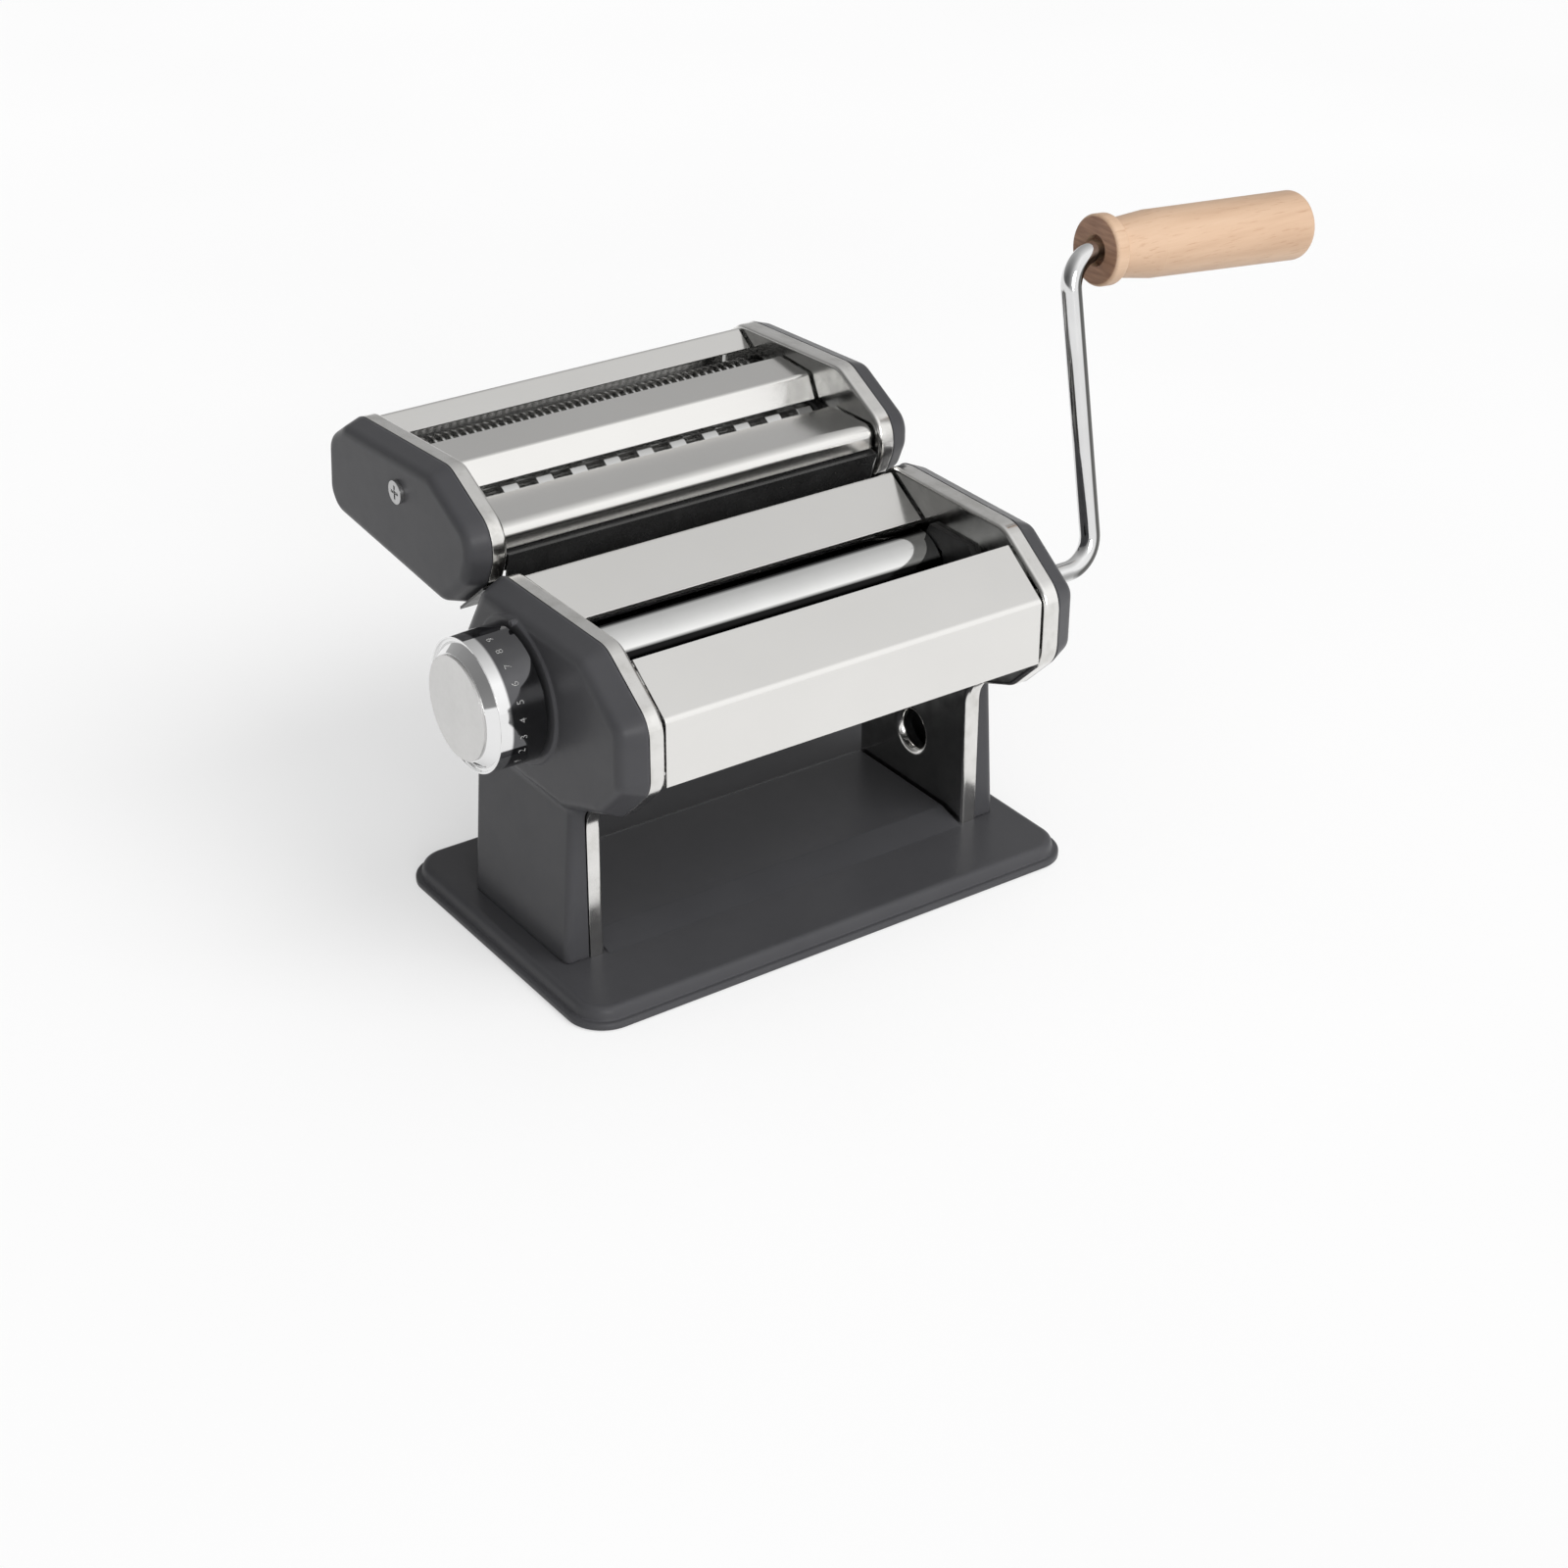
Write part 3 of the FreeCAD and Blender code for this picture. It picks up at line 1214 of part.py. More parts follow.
def make_crank():
    """Bent crank rod with its cross pin, and the wooden grip that turns on it."""
    rod = new_body("crank_rod")
    path = new_sketch(rod, "XZ_Plane")
    bend = d.crank_bend.value
    droop = math.radians(d.grip_droop.value)
    rod_length = d.grip_length * 0.97
    rod_end = grip_start + rod_length * cosine(d.grip_droop)
    rod_end_z = d.crank_arm - rod_length * sine(d.grip_droop)
    plane = crank_plane.value
    level = d.crank_arm.value
    up = FreeCAD.Vector(0, 0, 1)
    low_centre = FreeCAD.Vector(plane - bend, bend, 0)
    high_centre = FreeCAD.Vector(plane + bend, level - bend, 0)
    low_arc = Part.ArcOfCircle(Part.Circle(low_centre, up, bend), -math.pi / 2, 0)
    high_arc = Part.ArcOfCircle(Part.Circle(high_centre, up, bend), math.pi / 2 - droop, math.pi)
    start = FreeCAD.Vector(crank_inner.value, 0, 0)
    finish = FreeCAD.Vector(rod_end.value, rod_end_z.value, 0)
    inner = path.addGeometry(Part.LineSegment(start, low_arc.StartPoint), False)
    low = path.addGeometry(low_arc, False)
    arm = path.addGeometry(Part.LineSegment(low_arc.EndPoint, high_arc.EndPoint), False)
    high = path.addGeometry(high_arc, False)
    outer = path.addGeometry(Part.LineSegment(high_arc.StartPoint, finish), False)
    for ends in ((inner, 2, low, 1), (low, 2, arm, 1), (arm, 2, high, 2), (high, 1, outer, 1)):
        path.addConstraint(Sketcher.Constraint("Tangent", *ends))
    path.addConstraint(Sketcher.Constraint("Horizontal", inner))
    path.addConstraint(Sketcher.Constraint("Vertical", arm))
    constrain(path, crank_inner, "DistanceX", -1, 1, inner, 1)
    constrain(path, 0, "DistanceY", -1, 1, inner, 1)
    constrain(path, crank_plane, "DistanceX", -1, 1, arm, 1)
    constrain(path, d.crank_bend, "Radius", low)
    constrain(path, d.crank_bend, "Radius", high)
    constrain(path, rod_end, "DistanceX", -1, 1, outer, 2)
    constrain(path, rod_end_z, "DistanceY", -1, 1, outer, 2)
    grip_root = path.addGeometry(Part.Point(FreeCAD.Vector(grip_start.value, level, 0)), True)
    constrain(path, grip_start, "DistanceX", -1, 1, grip_root, 1)
    constrain(path, d.crank_arm, "DistanceY", -1, 1, grip_root, 1)
    path.addConstraint(Sketcher.Constraint("PointOnObject", grip_root, 1, outer))

    section = new_sketch(rod, "YZ_Plane", crank_inner)
    draw_circle(section, 0, 0, d.crank_rod)
    doc.recompute()
    pipe = rod.newObject("PartDesign::AdditivePipe", "crank_rod_pipe")
    pipe.Profile = section
    pipe.Spine = (path, [f"Edge{i}" for i in range(1, 6)])
    doc.recompute()
    pin = new_sketch(rod, "XZ_Plane")
    draw_circle(pin, socket_end - d.socket_slot * 0.7, 0, d.cross_pin)
    pad(rod, pin, d.socket_journal * 1.9, symmetric=True)
    place(rod, 0, drive_y, roller_z, CRANK_TURN)

    grip = new_body("crank_grip")
    bore = d.crank_rod + d.fit
    length = d.grip_length
    stick = spin(
        grip,
        "Revolution",
        [
            (d.grip_mouth_depth, bore),
            (d.grip_mouth_depth, d.grip_mouth),
            (ZERO, d.grip_mouth),
            (ZERO, d.grip_flange),
            (d.grip_flange_width, d.grip_flange),
            (d.grip_flange_width + d.grip_step, d.grip_neck),
            (d.grip_swell_at, d.grip_swell),
            (length, d.grip_body),
            (length, bore),
        ],
    )
    flange = d.grip_flange.value
    flange_end = d.grip_flange_width.value
    stick = fillet(
        grip,
        stick,
        d.grip_flange / 9,
        lambda e: is_ring(e, flange) and e.CenterOfMass.x < flange_end + 1,
    )
    tail = d.grip_body.value
    fillet(grip, stick, d.grip_body / 4, lambda e: is_ring(e, tail) and e.CenterOfMass.x > flange_end + 1)

    cap = new_body("grip_cap")
    gap = d.fit * 6
    spin(
        cap,
        "Revolution",
        [
            (rod_length, ZERO),
            (rod_length, d.crank_rod),
            (length + gap, d.crank_rod),
            (length + gap, d.grip_cap_flange),
            (length + gap + d.grip_cap_rise / 2, d.grip_cap_flange * 0.94),
            (length + gap + d.grip_cap_rise * 0.87, d.crank_rod),
            (length + gap + d.grip_cap_rise, ZERO),
        ],
    )
    reach_y = d.crank_arm * sine(d.crank_lean)
    reach_z = d.crank_arm * cosine(d.crank_lean)
    droop_turn = FreeCAD.Rotation(FreeCAD.Vector(0, 1, 0), d.grip_droop.value)
    for piece in (grip, cap):
        place(piece, grip_start, drive_y + reach_y, roller_z + reach_z, CRANK_TURN * droop_turn)


def make_cutter_plate(side):
    """Pressed side plate of the cutter unit, its rim turned outwards."""
    body = new_body("cutter_plate_" + side_name(side))
    reverse = side == LEFT
    outline = new_sketch(body, "YZ_Plane", d.plate_inner * side)
    draw_polygon(outline, cutter_outline())
    block = pad(body, outline, rim_outer - d.plate_inner, reverse=reverse)
    block = fillet(body, block, d.rim_corner, along_x)
    inner = d.plate_inner.value * side
    block = fillet(body, block, d.rim_bend, lambda e: on_plane(e, "X", inner))
    hollow(body, block, d.plate_sheet, lambda f: on_plane(f, "X", rim_outer.value * side))
    holes = new_sketch(body, "YZ_Plane", d.plate_inner * side)
    for y, z in cutter_axes:
        draw_circle(holes, y, z, cutter_bush_radius)
    pocket(body, holes, d.plate_sheet * 2, reverse=not reverse)


def make_cutter_cap(side):
    body = new_body("cutter_cap_" + side_name(side))
    reverse = side == LEFT
    outline = new_sketch(body, "YZ_Plane", cover_inner * side)
    draw_polygon(outline, cutter_outline())
    depth = cap_outer - cover_inner
    pod = sloping_pad(body, outline, depth, d.cap_corner, d.cap_draft, reverse)
    fillet(body, pod, d.cap_round, lambda e: on_plane(e, "X", cap_outer.value * side))
    room = new_sketch(body, "YZ_Plane", cover_inner * side)
    draw_polygon(room, cutter_outline(d.cover_wall * 1.6))
    pocket(body, room, depth - d.cover_wall, reverse=not reverse, taper=-d.cap_draft)
    holes = new_sketch(body, "YZ_Plane", cover_inner * side)
    draw_circle(holes, screw_y, screw_z, d.screw_head * 0.4 + d.fit)
    if side == RIGHT:
        for y, z in (cutter_axes[0], cutter_axes[2]):
            draw_circle(holes, y, z, d.socket_journal + d.fit * 8)
    pocket(body, holes, cap_outer, reverse=not reverse)


def make_cap_screws():
    """Round-headed screws with a cross recess, one through each cutter cap."""
    screws = []
    head = d.screw_head
    thick = head * 0.35
    for side in (LEFT, RIGHT):
        start = cap_outer if side == RIGHT else -cap_outer - thick
        disc = rod_x("screw_disc", head, start, thick, screw_y, screw_z)
        shank_start = plate_outer if side == RIGHT else -cap_outer
        shank = rod_x("screw_shank", head * 0.4, shank_start, cap_outer - plate_outer, screw_y, screw_z)
        whole = doc.addObject("Part::Fuse", "screw_blank")
        whole.Base = disc
        whole.Tool = shank
        recess_start = (cap_outer + thick / 2) if side == RIGHT else (-cap_outer - thick * 1.5)
        long = head * 1.2
        slim = head * 0.25
        level = box_at("recess", recess_start, screw_y - long / 2, screw_z - slim / 2, thick, long, slim)
        upright = box_at("recess", recess_start, screw_y - slim / 2, screw_z - long / 2, thick, slim, long)
        cross = doc.addObject("Part::Fuse", "recess_cross")
        cross.Base = level
        cross.Tool = upright
        screw = doc.addObject("Part::Cut", "cap_screw")
        screw.Base = whole
        screw.Tool = cross
        screws.append(screw)
    gather("cap_screws", screws)


def make_guards():
    """Bright sheets over the cutters, with a slot to each pair."""
    rear = [
        (rear_guard_y, rear_guard_z),
        (cut_back_y - d.fit * 8, cut_back_z - d.plate_sheet),
        (cut_tail_y - d.rear_guard_inset, cut_tail_z - d.plate_sheet / 2),
        (cut_rear_y - d.rear_guard_inset, cut_rear_z + d.plate_sheet),
    ]
    make_bent_panel("rear_guard", rear, [1, 2], faces_between(rear[3], rear[0]), d.panel_bend / 2)
    middle = [
        (middle_guard_rear - d.middle_lip_run, middle_guard_z - d.middle_lip_drop),
        (middle_guard_rear, middle_guard_z),
        (middle_guard_front + d.middle_slope_run, middle_guard_z - d.middle_guard_fall),
        (middle_guard_front, middle_guard_z - d.middle_slope_drop),
    ]
    make_bent_panel("middle_guard", middle, [1, 2], faces_between(middle[3], middle[0]), d.panel_bend / 2)
    front = [
        (front_guard_rear, front_guard_z - d.front_guard_fall),
        (front_guard_nose, front_guard_z),
        (front_guard_nose, front_guard_z - d.front_guard_lip),
    ]
    make_bent_panel("front_guard", front, [1], faces_between(front[2], front[0]), d.panel_bend * 1.3)


def back_slope(z):
    """Where the sloping upper part of the back panel is at a height."""
    inset = d.plate_sheet + d.fit * 6
    top_y = d.body_top_rear - inset
    top_z = d.body_top - inset * 2
    run = body_rear - d.body_top_rear
    return top_y + (top_z - z) * run / (top_z - body_rear_z)


def make_hanger():
    """Hanger strip of the cutter unit with two tongues, and their keepers on the back panel."""
    body = new_body("hanger_plate")
    gap = d.hanger_gap
    low = d.hanger_gap + d.hanger_sheet
    slope = new_sketch(body, "YZ_Plane")
    draw_polygon(
        slope,
        [
            (cut_slip_y, cut_slip_z - gap),
            (cut_toe_y, cut_toe_z - gap),
            (cut_toe_y, cut_toe_z - low),
            (cut_slip_y, cut_slip_z - low),
        ],
    )
    pad(body, slope, hanger_half * 2, symmetric=True)
    upper = new_sketch(body, "YZ_Plane")
    fold = cut_front + d.hanger_fold
    flange_y = fold + d.hanger_flange
    flange_z = cut_nose_low + d.hanger_flange_rise
    draw_polygon(
        upper,
        [
            (cut_slip_y, cut_slip_z - low),
            (fold, cut_nose_low),
            (flange_y, flange_z),
            (flange_y, flange_z - d.hanger_sheet),
            (fold + d.hanger_sheet, cut_nose_low - d.hanger_sheet),
            (cut_slip_y + d.hanger_sheet, cut_slip_z - low),
        ],
    )
    pad(body, upper, panel_half * 2, symmetric=True)
    for side in (LEFT, RIGHT):
        tongue = new_sketch(body, "YZ_Plane", tongue_start * side)
        draw_rectangle(tongue, tongue_y, tongue_y + d.tongue_sheet, tongue_low, tongue_low + d.tongue_height)
        pad(body, tongue, d.tongue_width, reverse=side == LEFT)

    keepers = []
    for side in (LEFT, RIGHT):
        keeper = doc.addObject("PartDesign::Body", "keeper")
        start = (tongue_start - d.keeper_wall) * side
        block = new_sketch(keeper, "YZ_Plane", start)
        draw_polygon(
            block,
            [
                (back_slope(keeper_high), keeper_high),
                (back_slope(keeper_low), keeper_low),
                (keeper_rear, keeper_low),
                (keeper_rear, keeper_high - d.keeper_wall * 1.8),
            ],
        )
        pad(keeper, block, d.tongue_width + d.keeper_wall * 2, reverse=side == LEFT)
        slot = new_sketch(keeper, "XY_Plane", keeper_low - 1)
        room = d.fit * 6
        near = (tongue_start - room) * side
        far = (tongue_start + d.tongue_width + room) * side
        draw_rectangle(slot, near, far, tongue_y - room, tongue_y + d.tongue_sheet + room)
        pocket(keeper, slot, keeper_high - keeper_low + 2, reverse=True)
        keepers.append(keeper)
    gather("hanger_keepers", keepers)


def make_cutter_frame():
    spots = [
        (screw_y + d.cutter_rod_run, cut_heel_z + d.cutter_rod_rise),
        (cut_rear_y - d.rear_rod_inset, cut_rear_z + d.rear_rod_rise),
    ]
    rods = [rod_x("cutter_rod", d.rod_radius, -d.plate_inner, d.plate_inner * 2, y, z) for y, z in spots]
    gather("cutter_tie_rods", rods)
    nuts = []
    for y, z in spots:
        nuts.append(rod_x("cutter_nut", d.rod_radius * 1.6, plate_outer, d.rod_radius, y, z))
        nuts.append(rod_x("cutter_nut", d.rod_radius * 1.6, -plate_outer - d.rod_radius, d.rod_radius, y, z))
    gather("cutter_rod_nuts", nuts)
    rings = []
    bars = []
    ring_length = d.bush_flange * 2 + d.plate_sheet
    drop = d.cutter_radius + d.scraper_gap + d.stripper_height
    size = (d.plate_inner * 2, d.stripper_width, d.stripper_height)
    for y, z in cutter_axes:
        for start in (d.plate_inner - d.bush_flange, -plate_outer - d.bush_flange):
            bore = d.socket_journal + d.fit
            rings.append(ring_x("cutter_bush", cutter_bush_radius, bore, start, ring_length, y, z))
        bars.append(box_at("stripper", -d.plate_inner, y - d.stripper_width / 2, z - drop, *size))
    gather("cutter_bushes", rings)
    gather("stripper_bars", bars)


def make_cutter(label, y, z, pitch, disc, shift, driven):
    """A cutter roller: a core with a row of discs; the driven one has a disc less."""
    body = turned(label, roller_profile(d.socket_journal, d.cutter_core, cutter_half, driven), y, z)
    room = cutter_half.value - shift.value - disc.value / 2
    count = 2 * int(room / pitch.value) + 1
    if driven:
        count -= 1
    span = pitch * (count - 1)
    ring = new_sketch(body, "YZ_Plane", shift - (span + disc) / 2)
    draw_circle(ring, 0, 0, d.cutter_radius)
    first = pad(body, ring, disc)
    discs = body.newObject("PartDesign::LinearPattern", label + "_discs")
    discs.Originals = [first]
    discs.Direction = (x_axis(body), [""])
    bind(discs, "Length", span)
    body.Tip = discs
    discs.Occurrences = count
    doc.recompute()
    if driven:
        cut_pin_slot(body)


def make_cutters():
    wide = (wide_z, d.wide_pitch, d.wide_disc, d.wide_shift)
    make_cutter("wide_cutter_front", wide_front_y, *wide, True)
    make_cutter("wide_cutter_rear", wide_rear_y, *wide, False)
    fine = (fine_z, d.fine_pitch, d.fine_disc, ZERO)
    make_cutter("fine_cutter_front", fine_front_y, *fine, True)
    make_cutter("fine_cutter_rear", fine_rear_y, *fine, False)


make_base()
make_mat()
for end in (LEFT, RIGHT):
    make_side_plate(end)
    make_cover(end)
    make_cutter_plate(end)
    make_cutter_cap(end)
make_panels()
make_tie_rods()
make_guides_and_scrapers()
make_bearings()
make_rollers()
make_gears()
make_knob()
make_crank()
make_guards()
make_hanger()
make_cutter_frame()
make_cap_screws()
make_cutters()

doc.recompute()
os.makedirs("parts", exist_ok=True)
for node in nodes:
    state = [s for s in node.State if s in ("Invalid", "Error")]
    if state or node.Shape.isNull() or not node.Shape.isValid():
        raise ValueError(f"{node.Label} failed: {state}")
    node.Shape.exportStep(f"parts/{node.Label}.step")
    box = node.Shape.BoundBox
    spans = [f"{a} {getattr(box, a + 'Min'):.1f}..{getattr(box, a + 'Max'):.1f}" for a in "XYZ"]
    print(f"{node.Label}: {len(node.Shape.Solids)} solid, {node.Shape.Volume:.0f} mm3,", *spans)
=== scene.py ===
import json
import math

import bmesh
import bpy
from mathutils import Matrix, Vector


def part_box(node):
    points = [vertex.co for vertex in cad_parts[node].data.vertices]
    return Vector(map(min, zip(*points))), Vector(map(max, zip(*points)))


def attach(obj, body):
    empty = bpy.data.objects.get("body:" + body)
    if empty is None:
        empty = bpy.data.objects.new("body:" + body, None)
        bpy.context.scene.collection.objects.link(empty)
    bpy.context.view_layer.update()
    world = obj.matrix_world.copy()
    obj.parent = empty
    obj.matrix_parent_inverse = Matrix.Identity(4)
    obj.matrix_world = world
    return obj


# Hand-cranked pasta roller on a pale floor, seen from its front left.
# Lengths are in metres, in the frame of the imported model.

MM = 0.001

# the range that holds nearly all values of a noise texture
NOISE_LOW = 0.3
NOISE_HIGH = 0.7

# numerals round the dial: place along the knob, size, depth and angles
NUMERALS = "987654321"
NUMERAL_X = -97.5 * MM
NUMERAL_SIZE = 3.5 * MM
NUMERAL_INSET = 0.08 * MM
NUMERAL_THINNING = -0.05 * MM
NUMERAL_FIRST_DEG = 81
NUMERAL_STEP_DEG = -15

# the knob's chrome is bright up to this place along X, and painted dark behind it as a painted
# dark reflection
KNOB_LIP = -101.6 * MM
KNOB_LIP_FADE = 0.8 * MM

# the way the crank rod's painted dark reflection faces
ROD_PAINTED_REFLECTION_SIDE = (0.82, -0.57, 0.0)

# the roller is bright between these values of its normal's Y, and painted dark outside them as
# painted dark reflections
ROLLER_FRONT_PAINTED_DARK = (-0.82, -0.77)
ROLLER_BACK_PAINTED_DARK = (-0.24, -0.14)

FLOOR_HALF = 40.0
FLOOR_GLOW = 1.02
FLOOR_GLOW_SHARE = 0.5

# brightness of the studio, from its front (y = -1) to its back (y = 1)
STUDIO = [
    (-1.0, 1.0),
    (-0.82, 1.12),
    (-0.6, 1.15),
    (-0.3, 0.88),
    (-0.12, 0.76),
    (0.3, 0.58),
    (0.71, 0.46),
    (1.0, 0.42),
]
# the studio dims to this share towards its far left and far right
STUDIO_SIDE = 0.2
STUDIO_LEFT = (-0.9, -0.1)
STUDIO_RIGHT = (0.72, 0.97)
# heights between which the white of the horizon fades
HORIZON = (0.04, 0.1)

# camera fitted to the photograph: angles in degrees, lengths in millimetres
IMAGE_PIXELS = 1600
FOCAL_PIXELS = 2968.2175
SENSOR = 36.0
CAMERA_AZIMUTH = -35.0469
CAMERA_ELEVATION = 29.6201
CAMERA_ROLL = 0.28097
CAMERA_OFFSET_X = -15.1602
CAMERA_OFFSET_Y = -27.8857
CAMERA_DISTANCE = 996.5088

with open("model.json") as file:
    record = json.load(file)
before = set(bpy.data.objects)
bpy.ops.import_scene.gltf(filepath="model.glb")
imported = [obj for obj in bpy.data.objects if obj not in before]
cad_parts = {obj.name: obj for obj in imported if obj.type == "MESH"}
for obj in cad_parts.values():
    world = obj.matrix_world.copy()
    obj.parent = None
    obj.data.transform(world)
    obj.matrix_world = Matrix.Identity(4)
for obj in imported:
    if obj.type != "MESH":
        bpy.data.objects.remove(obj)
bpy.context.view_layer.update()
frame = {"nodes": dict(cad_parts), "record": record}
nodes = frame["nodes"]
scene = bpy.context.scene
joints = {joint["name"]: joint for joint in frame["record"]["behaviour"]["joints"]}


def grey(level):
    return (level, level, level)


class Nodes:
    """Short ways to add and link shader nodes in one tree."""

    def __init__(self, tree):
        self.tree = tree

    def add(self, kind, **values):
        node = self.tree.nodes.new(kind)
        for key, value in values.items():
            if key in node.inputs:
                node.inputs[key].default_value = value
            else:
                setattr(node, key, value)
        return node

    def link(self, source, target):
        self.tree.links.new(source, target)

    def maths(self, operation, *sources):
        node = self.add("ShaderNodeMath", operation=operation)
        for source, socket in zip(sources, node.inputs):
            self.link(source, socket)
        return node.outputs["Value"]

    def split(self, vector):
        """The X, Y and Z of a vector."""
        node = self.add("ShaderNodeSeparateXYZ")
        self.link(vector, node.inputs["Vector"])
        return node.outputs

    def ramp(self, source, *stops):
        """Maps a value to colours; each stop is (place, colour)."""
        node = self.add("ShaderNodeValToRGB")
        elements = node.color_ramp.elements
        while len(elements) < len(stops):
            elements.new(0.5)
        for element, (place, colour) in zip(elements, stops):
            element.position = place
            element.color = (*colour, 1.0)
        self.link(source, node.inputs["Fac"])
        return node.outputs["Color"]

    def span(self, source, low, high, low_from=NOISE_LOW, high_from=NOISE_HIGH):
        """Maps low_from..high_from to low..high."""
        node = self.add("ShaderNodeMapRange")
        node.inputs["From Min"].default_value = low_from
        node.inputs["From Max"].default_value = high_from
        node.inputs["To Min"].default_value = low
        node.inputs["To Max"].default_value = high
        self.link(source, node.inputs["Value"])
        return node.outputs["Result"]


class Shader(Nodes):
    """A node material whose Principled shader is fed by textures in the model's frame."""

    def __init__(self, name):
        self.material = bpy.data.materials.new(name)
        self.material.use_nodes = True
        super().__init__(self.material.node_tree)
        self.bsdf = self.tree.nodes["Principled BSDF"]
        self.place = self.add("ShaderNodeTexCoord").outputs["Object"]

    def set(self, **values):
        for key, value in values.items():
            self.bsdf.inputs[key.replace("_", " ")].default_value = value

    def noise(self, scale=1.0, detail=3.0, stretch=None, roughness=0.55):
        """Noise in cells per metre; stretch scales the three directions."""
        texture = self.add("ShaderNodeTexNoise", Scale=scale, Detail=detail, Roughness=roughness)
        source = self.place
        if stretch:
            mapping = self.add("ShaderNodeMapping")
            mapping.inputs["Scale"].default_value = stretch
            self.link(source, mapping.inputs["Vector"])
            source = mapping.outputs["Vector"]
        self.link(source, texture.inputs["Vector"])
        return texture.outputs["Fac"]

    def tones(self, source, first, second):
        """Two colours over the usual range of a noise."""
        return self.ramp(source, (NOISE_LOW, first), (NOISE_HIGH, second))

    def mix(self, factor, first, second):
        node = self.add("ShaderNodeMix", data_type="RGBA")
        self.link(factor, node.inputs["Factor"])
        for name, value in (("A", first), ("B", second)):
            socket = next(s for s in node.inputs if s.name == name and s.type == "RGBA")
            if isinstance(value, tuple):
                socket.default_value = (*value, 1.0)
            else:
                self.link(value, socket)
        return next(s for s in node.outputs if s.type == "RGBA")

    def normal(self):
        return self.add("ShaderNodeNewGeometry").outputs["Normal"]

    def rounded(self, radius, samples):
        """Normals as if the edges were rounded."""
        node = self.add("ShaderNodeBevel", samples=samples)
        node.inputs["Radius"].default_value = radius
        return node.outputs["Normal"]

    def facing(self, vector, direction):
        """Dot product with a direction, given as numbers or as another node's vector."""
        node = self.add("ShaderNodeVectorMath", operation="DOT_PRODUCT")
        self.link(vector, node.inputs[0])
        if isinstance(direction, tuple):
            node.inputs[1].default_value = direction
        else:
            self.link(direction, node.inputs[1])
        return node.outputs["Value"]

    def edge(self, radius):
        """1 along sharp edges and 0 on flat faces."""
        bend = self.facing(self.rounded(radius, samples=6), self.normal())
        return self.span(bend, 1.0, 0.0, 0.75, 0.98)

    def bump(self, height, strength, distance, soften=0.3 * MM):
        node = self.add("ShaderNodeBump")
        node.inputs["Strength"].default_value = strength
        node.inputs["Distance"].default_value = distance
        self.link(height, node.inputs["Height"])
        self.link(self.rounded(soften, samples=4), node.inputs["Normal"])
        self.link(node.outputs["Normal"], self.bsdf.inputs["Normal"])

    def colour(self, source):
        self.link(source, self.bsdf.inputs["Base Color"])

    def roughness(self, source):
        self.link(source, self.bsdf.inputs["Roughness"])

    def turned(self, lines, low, high):
        """Fine lines round an axis along X, in the roughness and as a slight relief."""
        grain = self.noise(detail=2, stretch=lines)
        self.roughness(self.span(grain, low, high))
        self.bump(grain, strength=0.01, distance=0.02 * MM)


def make_paint():
    """Satin anthracite paint with a faint orange peel, and paler edges as a painted highlight.
    """
    s = Shader("anthracite_paint")
    tone = s.tones(s.noise(35, detail=4), (0.054, 0.054, 0.058), (0.060, 0.060, 0.064))
    # paler colour along sharp edges, a painted highlight
    s.colour(s.mix(s.edge(1.2 * MM), tone, (0.085, 0.085, 0.092)))
    s.roughness(s.span(s.noise(160), 0.29, 0.36))
    s.set(Specular_IOR_Level=0.15)
    s.bump(s.noise(1500, detail=2), strength=0.05, distance=0.1 * MM, soften=1.2 * MM)
    return s.material


def make_sheet():
    """Satin stainless sheet, faintly brushed along the rollers, paler along sharp edges as a
    painted highlight.
    """
    s = Shader("satin_stainless")
    s.set(Metallic=1.0)
    lines = s.noise(detail=2, stretch=(12, 2400, 2400))
    tone = s.tones(s.noise(22, detail=4), (0.775, 0.765, 0.745), (0.80, 0.79, 0.77))
    # paler colour along sharp edges, a painted highlight
    s.colour(s.mix(s.edge(0.5 * MM), tone, (0.86, 0.85, 0.83)))
    s.roughness(s.span(lines, 0.15, 0.20))
    s.bump(lines, strength=0.012, distance=0.03 * MM)
    return s.material


def make_plate():
    """Pressed sheet: a bright, faintly stained rim, and flat faces painted darker as a painted
    dark reflection.
    """
    s = Shader("bright_plate")
    s.set(Metallic=1.0)
    stain = s.noise(110, detail=5)
    rim = s.ramp(
        stain,
        (0.25, (0.62, 0.61, 0.58)),
        (0.5, (0.77, 0.76, 0.74)),
        (0.75, (0.82, 0.81, 0.79)),
    )
    face = s.tones(stain, (0.34, 0.34, 0.332), (0.44, 0.44, 0.43))
    sideways = s.maths("ABSOLUTE", s.split(s.normal())["X"])
    # faces turned along X take the darker colour, a painted dark reflection; the stains are the
    # plate's own
    s.colour(s.mix(s.span(sideways, 0.0, 1.0, 0.9, 0.99), rim, face))
    s.roughness(s.span(s.noise(200, detail=4), 0.14, 0.22))
    s.bump(s.noise(700), strength=0.02, distance=0.04 * MM)
    return s.material


def make_bright(name, colour, low, high, lines):
    """Turned bright metal."""
    s = Shader(name)
    s.set(Metallic=1.0)
    dim = tuple(0.94 * c for c in colour)
    s.colour(s.tones(s.noise(60), dim, colour))
    s.turned(lines, low, high)
    return s.material


def make_knob():
    """Mirror chrome with a bright lip, and a body behind it painted dark as a painted dark
    reflection.
    """
    s = Shader("mirror_chrome")
    s.set(Metallic=1.0)
    # dark colour of the knob's body: a painted dark reflection, not a finish of the part
    shade = s.tones(s.noise(60), (0.10, 0.10, 0.105), (0.13, 0.13, 0.135))
    behind = s.span(s.split(s.place)["X"], 0.0, 1.0, KNOB_LIP, KNOB_LIP + KNOB_LIP_FADE)
    s.colour(s.mix(behind, grey(0.82), shade))
    s.turned((900, 60, 60), 0.03, 0.07)
    return s.material


